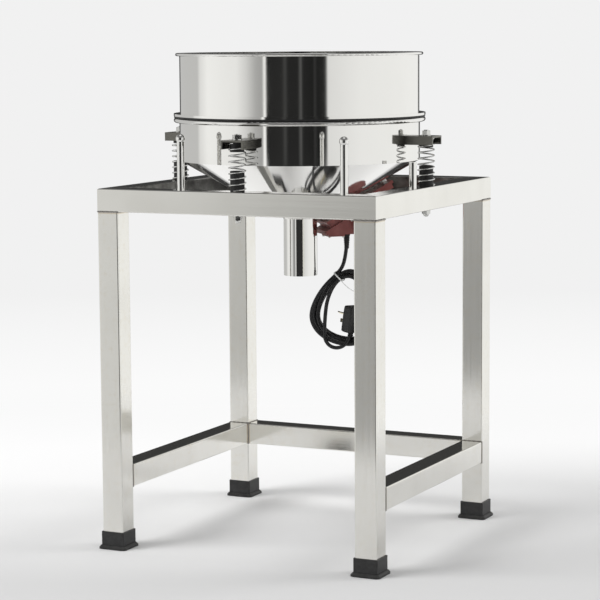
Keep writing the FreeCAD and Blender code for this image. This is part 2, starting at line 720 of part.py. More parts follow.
def motor_bolts():
    length = "plate_top - foot_base + motor_nut_height + tool_gap"
    shank = cylinder("motor_shank", "motor_bolt_radius", length, z="foot_base")
    head = hexagon("motor_head", "motor_hex_radius", "motor_nut_height", "foot_base - motor_nut_height")
    bolts = copies("motor_bolts", fuse("motor_bolt", shank, head), motor_bolt_spots("0"))
    solid = hexagon("motor_nut_solid", "motor_hex_radius", "motor_nut_height", "plate_top")
    nuts = copies("motor_nuts", cut("motor_nut", solid, shank), motor_bolt_spots("0"))
    return [place(bolts, *AT_MOTOR), place(nuts, *AT_MOTOR)]


def motor_housing():
    """Cast foot and barrel in one piece, bored for the stator."""
    foot = box("foot", "plate_start + foot_margin", "0 - housing_length / 2", "foot_base",
               "foot_length", "housing_length", "foot_thickness")
    barrel = on_shaft("barrel", "housing_radius", "housing_length", "0 - housing_length / 2")
    bore = on_shaft("barrel_bore", "stator_seat", "housing_length", "0 - housing_length / 2")
    drill = cylinder("foot_drill", "motor_hole", "foot_thickness", z="foot_base")
    drilled = cut("drilled_casting", fuse("casting", foot, barrel),
                  copies("foot_holes", drill, motor_bolt_spots("0")))
    taps = shield_screws("tap", with_heads=False)
    return place(cut("motor_housing", cut("bored_casting", drilled, bore), taps), *AT_MOTOR)


def shield_screws(name, with_heads=True):
    """Three screws at each end of the housing, or the holes that they fill."""
    reach = "shield_screw_length + shield_thickness"
    shank = cylinder(name + "_shank", "shield_screw_radius", reach, y="shield_face", turn="rotationx(90)")
    if with_heads:
        head = cylinder(name + "_head", "shield_head_radius", "shield_head_height",
                        y="shield_face + shield_head_height", turn="rotationx(90)")
        shank = fuse(name + "_screw", shank, head)
    spots = []
    for end_turn in (0, 180):
        for angle in (30, 150, 270):
            spots.append((f"motor_station + shield_screw_circle * cos({angle})", "0",
                          f"motor_axis + shield_screw_circle * sin({angle})", f"rotationz({end_turn})"))
    return copies(name, shank, spots)


def end_shields():
    """Shields that close the housing, each with a bearing seat and a screw ring."""
    joint = "housing_length / 2"
    shield = turned("shield", [("bearing_radius", "shield_seat"), ("stator_seat", "shield_seat"),
                               ("stator_seat", joint), ("housing_radius", joint),
                               ("housing_radius", "shield_face"), ("shaft_radius + shaft_gap", "shield_face"),
                               ("shaft_radius + shaft_gap", "shield_seat + bearing_width"),
                               ("bearing_radius", "shield_seat + bearing_width")])
    pair = copies("shield_pair", shield, ends())
    return place(cut("end_shields", pair, shield_screws("shield_tap", with_heads=False)), *AT_MOTOR)


def ends():
    """Both ends of the motor: what is turned about Z is laid along the shaft."""
    return [("motor_station", "0", "motor_axis", f"rotationx({angle})") for angle in (90, -90)]


def motor_inside():
    start = "0 - stator_length / 2"
    blank = on_shaft("stator_blank", "stator_seat", "stator_length", start)
    stator = cut("stator", blank, on_shaft("stator_hole", "stator_bore", "stator_length", start))
    bearing = turned_ring("bearing", "shaft_radius + running_gap", "bearing_radius",
                          "shield_seat", "shield_seat + bearing_width")
    return [place(stator, *AT_MOTOR), place(copies("bearings", bearing, ends()), *AT_MOTOR)]


def weight_covers():
    nodes = []
    for side, angle in (("near", 90), ("far", -90)):
        cover_end = "shield_face + cover_length"
        cup = turned("cover_cup_" + side, [
            ("cover_radius - cover_wall", "shield_face"), ("cover_radius", "shield_face"),
            ("cover_radius", cover_end), ("0", cover_end), ("0", f"{cover_end} - cover_wall"),
            ("cover_radius - cover_wall", f"{cover_end} - cover_wall")])
        spot = ("motor_station", "0", "motor_axis", f"rotationx({angle})")
        cover = copies("weight_cover_" + side, cup, [spot])
        nodes.append(place(cover, *AT_MOTOR))
    return nodes


def rotor():
    shaft = on_shaft("shaft_rod", "shaft_radius", "shaft_length", "0 - shaft_length / 2")
    blank = on_shaft("rotor_blank", "rotor_radius", "stator_length", "0 - stator_length / 2")
    core = cut("rotor_core", blank, shaft)
    disc = doc.addObject("Part::Cylinder", "weight_disc")
    bind(disc, Radius="weight_radius", Height="weight_width", Angle="180")
    hub = cylinder("weight_hub", "2 * shaft_radius", "weight_width")
    hole = cylinder("weight_bore", "shaft_radius", "weight_width")
    weight = cut("weight", fuse("weight_solid", disc, hub), hole)
    hanging = "rotationy(cone_slope) * " + ALONG_SHAFT
    weights = copies("eccentric_weights", weight, [
        ("motor_station", start, "motor_axis", hanging)
        for start in ("0 - weight_start - weight_width", "weight_start")])
    rod = copies("motor_shaft", shaft, [("0", "0", "0")])
    return [place(rod, *AT_MOTOR), place(core, *AT_MOTOR), place(weights, *AT_MOTOR)]


AT_HEADING = ("0", "0", "0", "rotationz(motor_heading)")


def terminal_box():
    """Box between foot and barrel. Its floor is level, and its roof follows the foot."""
    body = new_body("box_blank")
    side = new_sketch(body, "XZ_Plane")
    slope = "tan(cone_slope)"
    roof = f"cone_base + foot_base / cos(cone_slope) - pipe_radius * {slope}"
    draw_polygon(side, [("box_inner", "box_floor"), ("box_outer", "box_floor"),
                        ("box_outer", f"{roof} + box_outer * {slope}"),
                        ("box_inner", f"{roof} + box_inner * {slope}")])
    pad(body, side, "2 * box_side", midplane=True)
    space = box("wiring_space", "pocket_inner", "0 - pocket_near", "box_floor",
                "pocket_outer - pocket_inner", "pocket_near + pocket_far", "pocket_depth")
    entry = cylinder("cord_way", "grommet_hole", "cord_entry", "grommet_station",
                     "0 - grommet_side", "box_floor")
    hollow = cut("box_hollow", body, fuse("box_spaces", space, entry))
    barrel = fuse("barrel_room", on_shaft("barrel_tool", "housing_radius", "housing_length",
                                          "0 - housing_length / 2"),
                  on_shaft("shield_tool", "housing_radius", "2 * shield_face", "0 - shield_face"))
    reach = cylinder("bolt_room_tool", "motor_hex_radius + tool_gap", "2 * motor_nut_height",
                     z="foot_base - 2 * motor_nut_height")
    heads = copies("bolt_room", reach, motor_bolt_spots("0"))
    room = place(fuse("motor_room", barrel, heads), *AT_MOTOR)
    return cut("terminal_box", place(hollow, *AT_HEADING), room)


def cover_screw_spots(level):
    edge = "cover_edge / 2"
    return [(along, across, level)
            for along in (f"pocket_inner - {edge}", f"pocket_outer + {edge}")
            for across in (f"0 - pocket_near - {edge}", f"pocket_far + {edge}")]


def terminal_cover():
    cover = box("cover_blank", "pocket_inner - cover_edge", "0 - pocket_near - cover_edge", "cover_floor",
                "pocket_outer - pocket_inner + 2 * cover_edge", "pocket_near + pocket_far + 2 * cover_edge",
                "cover_plate")
    plate = copies("terminal_cover", cover, [("0", "0", "0")])
    head = cylinder("cover_head", "cover_screw_radius", "cover_screw_head", z="0 - cover_screw_head")
    screws = copies("cover_screws", head, cover_screw_spots("cover_floor"))
    return [place(plate, *AT_HEADING), place(screws, *AT_HEADING)]


def grommet():
    bore = "cord_radius"
    ring = turned("grommet_ring", [(bore, "0 - grommet_drop"), ("grommet_radius", "0 - grommet_drop"),
                                   ("grommet_radius", "0"), ("grommet_hole", "0"),
                                   ("grommet_hole", "grommet_depth"), (bore, "grommet_depth")])
    seat = copies("cord_grommet", ring, [("grommet_station", "0 - grommet_side", "box_floor")])
    return place(seat, *AT_HEADING)


# The cord hangs in an upright plane. Its route is given sideways and upwards in that plane, from
# its exit in the floor of the terminal box.
CORD_ROUTE = [(0.0, 3.0), (0.0, -18.0), (-3.5, -37.0), (-8.7, -53.5), (-9.9, -63.0)]


def rounded_path(corners):
    """Straight runs joined by tangent arcs, as large as the two runs allow."""
    edges = []
    start = corners[0]
    for before, corner, after in zip(corners, corners[1:], corners[2:]):
        into, out = corner - before, after - corner
        turn = into.getAngle(out)
        trim = 0.45 * min(into.Length, out.Length)
        radius = trim / math.tan(turn / 2)
        entry = corner - into.normalize() * trim
        leave = corner + out.normalize() * trim
        bisector = (out - into).normalize()
        middle = corner + bisector * (math.hypot(radius, trim) - radius)
        print(f"cord turn {math.degrees(turn):.1f} degrees, radius {radius:.0f} mm")
        edges.append(Part.LineSegment(start, entry).toShape())
        edges.append(Part.Arc(entry, middle, leave).toShape())
        start = leave
    edges.append(Part.LineSegment(start, corners[-1]).toShape())
    return Part.Wire(edges)


def cord():
    heading = math.radians(number("hank_heading"))
    exit_spot = FreeCAD.Vector(number("exit_x"), number("exit_y"), number("box_floor"))
    corners = [exit_spot + FreeCAD.Vector(side * math.cos(heading), side * math.sin(heading), rise)
               for side, rise in CORD_ROUTE]
    path = rounded_path(corners)
    radius = number("cord_radius")
    section = Part.Wire(Part.makeCircle(radius, corners[0], corners[1] - corners[0]))
    tube = path.makePipeShell([section], True, True)
    print(f"cord volume {tube.Volume:.0f}, section times length {math.pi * radius ** 2 * path.Length:.0f}")
    node = doc.addObject("Part::Feature", "cord")
    node.Shape = tube
    return node


def in_hank(x, y, z, turn="rotationz(0)"):
    """A place in the hank's plane: x sideways, y behind it, z up from the floor."""
    return (f"({x}) * cos(hank_heading) - (hank_depth + {y}) * sin(hank_heading)",
            f"({x}) * sin(hank_heading) + (hank_depth + {y}) * cos(hank_heading)",
            z, f"rotationz(hank_heading) * {turn}")


def racetrack(name, radius):
    """An upright disc with two round ends and a straight stretch between them."""
    half = "hank_straight / 2"
    lower = cylinder(name + "_lower", radius, "hank_thickness", y="hank_thickness / 2",
                     z=f"0 - {half}", turn="rotationx(90)")
    upper = cylinder(name + "_upper", radius, "hank_thickness", y="hank_thickness / 2",
                     z=half, turn="rotationx(90)")
    middle = box(name + "_middle", f"0 - ({radius})", "0 - hank_thickness / 2", f"0 - {half}",
                 f"2 * ({radius})", "hank_thickness", "hank_straight")
    return fuse(name, lower, upper, middle)


def hank():
    """The tied bundle, a closed ring whose strands stand clear of the plug."""
    ring = cut("hank_ring", racetrack("hank_outer", "hank_radius"), racetrack("hank_hole", "hank_inner"))
    place(ring, *in_hank("hank_middle", "0", "hank_level"))
    room = box("plug_room_box", "0 - plug_width / 2 - plug_room", "0 - plug_thickness / 2 - plug_room",
               "0 - plug_room", "plug_width + 2 * plug_room", "plug_thickness + 2 * plug_room",
               "plug_height")
    return cut("cord_hank", ring, copies("plug_space", room, [plug_spot()]))


def tie():
    """Flat tie round the bundle with a twisted tail."""
    lean = "asin(tie_shift / (hank_radius - hank_strand / 2))"
    deep = "hank_thickness + 2 * tie_gap"
    tall = "hank_strand + 2 * tie_gap"
    skin = "tie_thickness"
    outer = box("tie_outer", "0 - tie_width / 2", f"0 - ({deep}) / 2 - {skin}", f"0 - ({tall}) / 2 - {skin}",
                "tie_width", f"{deep} + 2 * {skin}", f"{tall} + 2 * {skin}")
    inner = box("tie_inner", "0 - tie_width", f"0 - ({deep}) / 2", f"0 - ({tall}) / 2",
                "2 * tie_width", deep, tall)
    band = cut("tie_band", outer, inner)
    tail = box("tie_tail_blank", "0 - tail_width / 2", "0 - tail_thickness / 2", "0",
               "tail_width", "tail_thickness", "tail_length")
    tail = copies("tie_tail", tail, [("0", f"0 - ({deep}) / 2 - {skin} / 2", "0", "rotationy(145)")])
    whole = fuse("cord_tie", band, tail)
    centre = "hank_radius - hank_strand / 2"
    level = f"hank_level + hank_straight / 2 + ({centre}) * cos({lean})"
    return place(whole, *in_hank("hank_middle - tie_shift", "0", level, f"rotationy(-1 * {lean})"))


def plug_spot():
    turn = "rotationy(plug_lean) * rotationz(plug_turn)"
    return in_hank("hank_middle + plug_shift", "0", "plug_base", turn)


def plug():
    """Moulded plug with a strain relief below and three flat pins behind."""
    block = box("plug_block", "0 - plug_width / 2", "0 - plug_thickness / 2", "0",
                "plug_width", "plug_thickness", "plug_height")
    doc.recompute()
    smooth = doc.addObject("Part::Fillet", "plug_smooth")
    smooth.Base = block
    size = number("plug_round")
    smooth.Edges = [(index + 1, size, size) for index in range(len(block.Shape.Edges))]
    neck = cylinder("plug_neck", "plug_neck_radius", "plug_neck_length", z="0 - plug_neck_length")
    body = place(fuse("plug", smooth, neck), *plug_spot())
    pin = box("pin", "0 - pin_width / 2", "0", "0 - pin_thickness / 2",
              "pin_width", "pin_length", "pin_thickness")
    back = "plug_thickness / 2"
    pins = copies("plug_pins", pin, [
        ("0", back, "plug_height / 2 - pin_spread", "rotationy(90)"),
        ("0 - pin_spread", back, "plug_height / 2 + pin_spread", "rotationy(30)"),
        ("pin_spread", back, "plug_height / 2 + pin_spread", "rotationy(-30)")])
    return [body, place(pins, *plug_spot())]


def build():
    fill_sheet()
    nodes = legs() + boots() + top_rails() + lower_rails() + stop_posts()
    nodes += springs() + spring_cores() + core_bolts()
    nodes += [bowl(), cone(), outlet_pipe()] + ears() + ear_fasteners() + deck()
    nodes += motor_mount() + motor_bolts() + [motor_housing(), end_shields()]
    nodes += [place(shield_screws("shield_screws"), *AT_MOTOR)]
    nodes += motor_inside() + weight_covers() + rotor()
    nodes += [terminal_box()] + terminal_cover() + [grommet()]
    nodes += [cord(), hank(), tie()] + plug()
    doc.recompute()
    return nodes


def write(nodes):
    for thing in doc.Objects:
        if "Invalid" in thing.State or "Error" in thing.State:
            raise RuntimeError(f"{thing.Label} did not build: {thing.State}")
    for node in nodes:
        if node.Shape.isNull() or not node.Shape.isValid() or not node.Shape.Solids:
            raise RuntimeError(f"{node.Label} has no valid solid")
    os.makedirs("parts", exist_ok=True)
    for node in nodes:
        node.Shape.exportStep(f"parts/{node.Label}.step")
        print(f"{node.Label}: {len(node.Shape.Solids)} solids, {node.Shape.Volume:.0f} mm3")
    print(len(nodes), "nodes")


write(build())
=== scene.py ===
import json
import math

import bpy
from mathutils import Matrix, Vector


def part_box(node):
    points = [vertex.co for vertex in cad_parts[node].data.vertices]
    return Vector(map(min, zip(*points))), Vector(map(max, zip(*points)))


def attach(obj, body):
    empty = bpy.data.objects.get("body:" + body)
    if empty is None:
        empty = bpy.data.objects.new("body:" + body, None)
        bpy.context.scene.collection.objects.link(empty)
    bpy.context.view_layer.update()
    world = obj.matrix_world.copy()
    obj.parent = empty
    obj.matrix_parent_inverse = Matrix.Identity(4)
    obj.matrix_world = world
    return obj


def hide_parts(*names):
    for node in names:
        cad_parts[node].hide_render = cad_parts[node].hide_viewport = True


# Vibrating sieve: polished drum, bowl and cone on a satin steel stand, red motor and tied mains cord.
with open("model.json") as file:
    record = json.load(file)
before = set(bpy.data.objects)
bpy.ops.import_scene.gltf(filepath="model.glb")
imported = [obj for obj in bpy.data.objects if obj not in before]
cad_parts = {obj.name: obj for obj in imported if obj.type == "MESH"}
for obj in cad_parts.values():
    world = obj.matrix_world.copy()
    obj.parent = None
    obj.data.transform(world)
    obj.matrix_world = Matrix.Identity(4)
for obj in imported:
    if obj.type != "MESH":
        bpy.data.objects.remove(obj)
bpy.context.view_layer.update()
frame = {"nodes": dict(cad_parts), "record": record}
cadNodes = frame["nodes"]
scene = bpy.context.scene
print("frame loaded,", len(cadNodes), "nodes")

cameraView = {"place": (1.5931, -3.3055, 0.8500), "turn": 25.754, "tiltDown": 6.952, "roll": -0.373,
              "lens": 129.85, "sensor": 36}


def makeCamera():
    data = bpy.data.cameras.new("camera")
    data.lens = cameraView["lens"]
    data.sensor_width = cameraView["sensor"]
    camera = bpy.data.objects.new("camera", data)
    turn = Matrix.Rotation(math.radians(cameraView["turn"]), 4, "Z")
    tilt = Matrix.Rotation(math.radians(90 - cameraView["tiltDown"]), 4, "X")
    roll = Matrix.Rotation(math.radians(cameraView["roll"]), 4, "Z")
    camera.matrix_world = Matrix.Translation(cameraView["place"]) @ turn @ tilt @ roll
    scene.collection.objects.link(camera)
    scene.camera = camera


def put(tree, kind, settings=None, inputs=None):
    node = tree.nodes.new("ShaderNode" + kind)
    for key, value in (settings or {}).items():
        setattr(node, key, value)
    for key, value in (inputs or {}).items():
        if isinstance(value, bpy.types.NodeSocket):
            tree.links.new(value, node.inputs[key])
        else:
            node.inputs[key].default_value = value
    return node


def calc(tree, operation, first, second=0.0, clamp=False):
    settings = {"operation": operation, "use_clamp": clamp}
    return put(tree, "Math", settings, {0: first, 1: second}).outputs[0]


def noise(tree, vector, scale, detail=3.0, roughness=0.5):
    inputs = {"Vector": vector, "Scale": scale, "Detail": detail, "Roughness": roughness}
    return put(tree, "TexNoise", {}, inputs).outputs["Fac"]


def stretch(tree, vector, scale):
    return put(tree, "Mapping", {}, {"Vector": vector, "Scale": scale}).outputs[0]


def remap(tree, value, fromLow, fromHigh, toLow, toHigh):
    inputs = {0: value, 1: fromLow, 2: fromHigh, 3: toLow, 4: toHigh}
    return put(tree, "MapRange", {}, inputs).outputs[0]


def mixColour(tree, factor, first, second, blend="MIX"):
    node = put(tree, "Mix", {"data_type": "RGBA", "blend_type": blend}, {0: factor, 6: first, 7: second})
    return node.outputs[2]


def makeGroup(name, inputs, outputs, build):
    tree = bpy.data.node_groups.new(name, "ShaderNodeTree")
    for label, kind, value in inputs:
        socket = tree.interface.new_socket(name=label, in_out="INPUT", socket_type=kind)
        if value is not None:
            socket.default_value = value
    for label, kind in outputs:
        tree.interface.new_socket(name=label, in_out="OUTPUT", socket_type=kind)
    given = tree.nodes.new("NodeGroupInput")
    result = tree.nodes.new("NodeGroupOutput")
    for label, socket in build(tree, given.outputs).items():
        tree.links.new(socket, result.inputs[label])
    return tree


def useGroup(tree, group, inputs):
    node = tree.nodes.new("ShaderNodeGroup")
    node.node_tree = group
    for key, value in inputs.items():
        if isinstance(value, bpy.types.NodeSocket):
            tree.links.new(value, node.inputs[key])
        else:
            node.inputs[key].default_value = value
    return node.outputs


vectorSocket, floatSocket, colourSocket = "NodeSocketVector", "NodeSocketFloat", "NodeSocketColor"


def buildBrushing(tree, given):
    # long fine lines along the axis that Stretch keeps small
    scaled = put(tree, "VectorMath", {"operation": "MULTIPLY"},
                 {0: given["Vector"], 1: given["Stretch"]}).outputs[0]
    fine = noise(tree, scaled, 1.0, 4.0, 0.6)
    broad = noise(tree, scaled, 0.13, 2.0, 0.5)
    both = calc(tree, "ADD", calc(tree, "MULTIPLY", fine, 0.65), calc(tree, "MULTIPLY", broad, 0.35))
    return {"Lines": fine, "Mask": both}


def buildHandling(tree, given):
    # faint prints, wipes and cloudy patches of a cleaned surface
    cloud = noise(tree, given["Vector"], 9.0, 3.0, 0.55)
    swirl = stretch(tree, given["Vector"], (26, 26, 7))
    wipe = noise(tree, swirl, 1.0, 2.0, 0.4)
    patch = remap(tree, cloud, 0.42, 0.72, 0.0, 1.0)
    trace = remap(tree, wipe, 0.5, 0.75, 0.0, 0.6)
    total = calc(tree, "MULTIPLY", calc(tree, "ADD", patch, trace), given["Amount"], True)
    return {"Mask": total}


def buildHeatTint(tree, given):
    # straw to brown to blue-grey beside a weld, by the distance from it
    near = put(tree, "Math", {"operation": "DIVIDE", "use_clamp": True},
               {0: given["Distance"], 1: given["Reach"]}).outputs[0]
    wander = calc(tree, "MULTIPLY", noise(tree, given["Vector"], 120.0, 2.0), 0.35)
    place = calc(tree, "ADD", near, calc(tree, "SUBTRACT", wander, 0.17), True)
    ramp = put(tree, "ValToRGB", {}, {0: place})
    stops = ramp.color_ramp.elements
    stops[0].position, stops[0].color = 0.0, (0.20, 0.19, 0.21, 1)
    stops[1].position, stops[1].color = 1.0, (1, 1, 1, 1)
    for position, colour in ((0.25, (0.34, 0.30, 0.30, 1)), (0.5, (0.62, 0.50, 0.36, 1)),
                             (0.75, (0.88, 0.80, 0.66, 1))):
        stops.new(position).color = colour
    fade = remap(tree, place, 0.0, 1.0, 1.0, 0.0)
    return {"Colour": ramp.outputs[0], "Mask": fade}


def buildMoulding(tree, given):
    # fine grain of moulded rubber or a sand casting, with larger waves under it
    fine = noise(tree, given["Vector"], given["Scale"], 3.0, 0.6)
    waves = noise(tree, given["Vector"], calc(tree, "MULTIPLY", given["Scale"], 0.11), 2.0, 0.5)
    height = calc(tree, "ADD", calc(tree, "MULTIPLY", fine, 0.7), calc(tree, "MULTIPLY", waves, 0.5))
    return {"Height": height, "Mask": waves}


def buildDust(tree, given):
    # thin dust on what faces up
    facing = put(tree, "SeparateXYZ", {}, {0: given["Normal"]}).outputs[2]
    upward = remap(tree, facing, 0.2, 0.95, 0.0, 1.0)
    broken = remap(tree, noise(tree, given["Vector"], 60.0, 4.0, 0.65), 0.35, 0.75, 0.25, 1.0)
    total = calc(tree, "MULTIPLY", calc(tree, "MULTIPLY", upward, broken), given["Amount"], True)
    return {"Mask": total}


def makeGroups():
    vector = ("Vector", vectorSocket, None)
    return {
        "brushing": makeGroup("brushedLines", [vector, ("Stretch", vectorSocket, (40, 40, 40))],
                              [("Lines", floatSocket), ("Mask", floatSocket)], buildBrushing),
        "handling": makeGroup("handling", [vector, ("Amount", floatSocket, 0.5)],
                              [("Mask", floatSocket)], buildHandling),
        "heatTint": makeGroup("heatTint",
                              [vector, ("Distance", floatSocket, 1.0), ("Reach", floatSocket, 0.012)],
                              [("Colour", colourSocket), ("Mask", floatSocket)], buildHeatTint),
        "moulding": makeGroup("mouldedGrain", [vector, ("Scale", floatSocket, 900.0)],
                              [("Height", floatSocket), ("Mask", floatSocket)], buildMoulding),
        "dust": makeGroup("settledDust",
                          [vector, ("Normal", vectorSocket, None), ("Amount", floatSocket, 0.4)],
                          [("Mask", floatSocket)], buildDust),
    }


def newMaterial(name):
    material = bpy.data.materials.new(name)
    material.use_nodes = True
    tree = material.node_tree
    tree.nodes.clear()
    shader = put(tree, "BsdfPrincipled")
    put(tree, "OutputMaterial", {}, {"Surface": shader.outputs[0]})
    where = put(tree, "TexCoord").outputs["Object"]
    return material, tree, shader, where


def wrapRound(tree, where, lines):
    # a place as its turn round the upright axis and its height, for lines that run round the drum
    parts = put(tree, "SeparateXYZ", {}, {0: where}).outputs
    angle = calc(tree, "ARCTAN2", parts[1], parts[0])
    return put(tree, "CombineXYZ", {}, {0: calc(tree, "MULTIPLY", angle, lines), 1: parts[2]}).outputs[0]


polish = {"colour": (0.86, 0.855, 0.835, 1), "handled": (0.79, 0.78, 0.75, 1), "smooth": 0.035, "dull": 0.11,
          "round": 0.05, "lines": 2600.0}


def polishedSteel(groups, name="polishedSteel", smooth=polish["smooth"], dull=polish["dull"]):
    material, tree, shader, where = newMaterial(name)
    wrapped = wrapRound(tree, where, polish["round"])
    brushing = useGroup(tree, groups["brushing"], {"Vector": wrapped, "Stretch": (30, polish["lines"], 1)})
    handling = useGroup(tree, groups["handling"], {"Vector": where, "Amount": 0.5})
    colour = mixColour(tree, calc(tree, "MULTIPLY", handling["Mask"], 0.35), polish["colour"],
                       polish["handled"])
    tree.links.new(colour, shader.inputs["Base Color"])
    rough = calc(tree, "ADD", calc(tree, "MULTIPLY", brushing["Mask"], dull * 0.5),
                  calc(tree, "MULTIPLY", handling["Mask"], dull * 0.6))
    tree.links.new(calc(tree, "ADD", rough, smooth - dull * 0.2), shader.inputs["Roughness"])
    bump = put(tree, "Bump", {}, {"Strength": 0.02, "Distance": 0.0002, "Height": brushing["Lines"]})
    tree.links.new(bump.outputs[0], shader.inputs["Normal"])
    shader.inputs["Metallic"].default_value = 1.0
    return material


# the near-black colour at the end is painted shade for the tubes' faces towards the middle
tube = {"colour": (0.85, 0.84, 0.80, 1), "worn": (0.76, 0.745, 0.70, 1), "roughLow": 0.07, "roughHigh": 0.17,
        "along": 9.0, "across": 1500.0, "tintReach": 0.004, "inside": (0.045, 0.044, 0.040, 1)}


def tubeSteel(groups, name, axis, weldLevels=(), paintedShadeInside=False):
    # polished tube with its grain along one axis, tinted a little beside its welds, and, when asked, with
    # painted shade on its faces towards the middle
    material, tree, shader, where = newMaterial(name)
    spread = [tube["across"]] * 3
    spread[axis] = tube["along"]
    brushing = useGroup(tree, groups["brushing"], {"Vector": where, "Stretch": spread})
    handling = useGroup(tree, groups["handling"], {"Vector": where, "Amount": 0.45})
    colour = mixColour(tree, handling["Mask"], tube["colour"], tube["worn"])
    rough = remap(tree, brushing["Mask"], 0.3, 0.7, tube["roughLow"], tube["roughHigh"])
    rough = calc(tree, "ADD", rough, calc(tree, "MULTIPLY", handling["Mask"], 0.05))
    parts = put(tree, "SeparateXYZ", {}, {0: where}).outputs
    for part, level in weldLevels:
        place = calc(tree, "ABSOLUTE", parts[part]) if part < 2 else parts[part]
        distance = calc(tree, "ABSOLUTE", calc(tree, "SUBTRACT", place, level))
        tint = useGroup(tree, groups["heatTint"],
                        {"Vector": where, "Distance": distance, "Reach": tube["tintReach"]})
        colour = mixColour(tree, 0.6, colour, mixColour(tree, 1.0, colour, tint["Colour"], "MULTIPLY"))
        rough = calc(tree, "ADD", rough, calc(tree, "MULTIPLY", tint["Mask"], 0.12))
    if paintedShadeInside:
        # painted shade: the faces towards the middle get a dark, duller colour that stands in for the shaded
        # floor they mirror
        inward = put(tree, "VectorMath", {"operation": "MULTIPLY"}, {0: where, 1: (-1, -1, 0)}).outputs[0]
        inward = put(tree, "VectorMath", {"operation": "NORMALIZE"}, {0: inward}).outputs[0]
        normal = put(tree, "NewGeometry").outputs["Normal"]
        facing = put(tree, "VectorMath", {"operation": "DOT_PRODUCT"}, {0: inward, 1: normal})
        inside = remap(tree, facing.outputs["Value"], 0.4, 0.6, 0.0, 1.0)
        patchy = remap(tree, noise(tree, where, 40.0), 0.3, 0.7, 0.75, 1.0)
        inside = calc(tree, "MULTIPLY", inside, patchy)
        colour = mixColour(tree, inside, colour, tube["inside"])
        rough = calc(tree, "ADD", rough, calc(tree, "MULTIPLY", inside, 0.25))
    tree.links.new(colour, shader.inputs["Base Color"])
    tree.links.new(rough, shader.inputs["Roughness"])
    bump = put(tree, "Bump", {}, {"Strength": 0.03, "Distance": 0.0002, "Height": brushing["Lines"]})
    tree.links.new(bump.outputs[0], shader.inputs["Normal"])
    shader.inputs["Metallic"].default_value = 1.0
    return material


def plainSteel(groups, name, colour, low, high, grain=(500, 500, 500), bumpStrength=0.1):
    # bright wire, plated fasteners, sheet parts and machined parts
    material, tree, shader, where = newMaterial(name)
    brushing = useGroup(tree, groups["brushing"], {"Vector": where, "Stretch": grain})
    handling = useGroup(tree, groups["handling"], {"Vector": where, "Amount": 0.6})
    dark = tuple(0.72 * part for part in colour[:3]) + (1,)
    tree.links.new(mixColour(tree, handling["Mask"], colour, dark), shader.inputs["Base Color"])
    rough = remap(tree, brushing["Mask"], 0.3, 0.7, low, high)
    tree.links.new(rough, shader.inputs["Roughness"])
    bump = put(tree, "Bump", {}, {"Strength": bumpStrength, "Distance": 0.0002, "Height": brushing["Lines"]})
    tree.links.new(bump.outputs[0], shader.inputs["Normal"])
    shader.inputs["Metallic"].default_value = 1.0
    return material


def rubber(groups, name, colour, low, high, dustAmount=0.25, scale=1400.0):
    material, tree, shader, where = newMaterial(name)
    moulding = useGroup(tree, groups["moulding"], {"Vector": where, "Scale": scale})
    normal = put(tree, "NewGeometry").outputs["Normal"]
    dust = useGroup(tree, groups["dust"], {"Vector": where, "Normal": normal, "Amount": dustAmount})
    bloom = tuple(1.9 * part + 0.004 for part in colour[:3]) + (1,)
    base = mixColour(tree, remap(tree, moulding["Mask"], 0.35, 0.7, 0.0, 0.7), colour, bloom)
    base = mixColour(tree, dust["Mask"], base, (0.17, 0.165, 0.155, 1))
    tree.links.new(base, shader.inputs["Base Color"])
    rough = remap(tree, moulding["Height"], 0.35, 0.85, low, high)
    tree.links.new(rough, shader.inputs["Roughness"])
    bump = put(tree, "Bump", {}, {"Strength": 0.25, "Distance": 0.0002, "Height": moulding["Height"]})
    tree.links.new(bump.outputs[0], shader.inputs["Normal"])
    shader.inputs["Specular IOR Level"].default_value = 0.4
    return material


paint = {"red": (0.200, 0.044, 0.038, 1), "faded": (0.27, 0.085, 0.075, 1), "dust": (0.33, 0.27, 0.25, 1)}


def redPaint(groups):
    material, tree, shader, where = newMaterial("redPaint")
    moulding = useGroup(tree, groups["moulding"], {"Vector": where, "Scale": 420.0})
    normal = put(tree, "NewGeometry").outputs["Normal"]
    dust = useGroup(tree, groups["dust"], {"Vector": where, "Normal": normal, "Amount": 0.5})
    base = mixColour(tree, remap(tree, moulding["Mask"], 0.35, 0.65, 0.0, 0.8), paint["red"], paint["faded"])
    base = mixColour(tree, dust["Mask"], base, paint["dust"])
    tree.links.new(base, shader.inputs["Base Color"])
    tree.links.new(remap(tree, moulding["Height"], 0.3, 0.9, 0.26, 0.5), shader.inputs["Roughness"])
    bump = put(tree, "Bump", {}, {"Strength": 0.3, "Distance": 0.0004, "Height": moulding["Height"]})
    tree.links.new(bump.outputs[0], shader.inputs["Normal"])
    return material


# the darker colour here is painted shade for the gaps between the wires
weave = {"pitch": 0.0016, "wire": 0.42, "metal": (0.62, 0.615, 0.60, 1), "hole": (0.05, 0.05, 0.048, 1)}


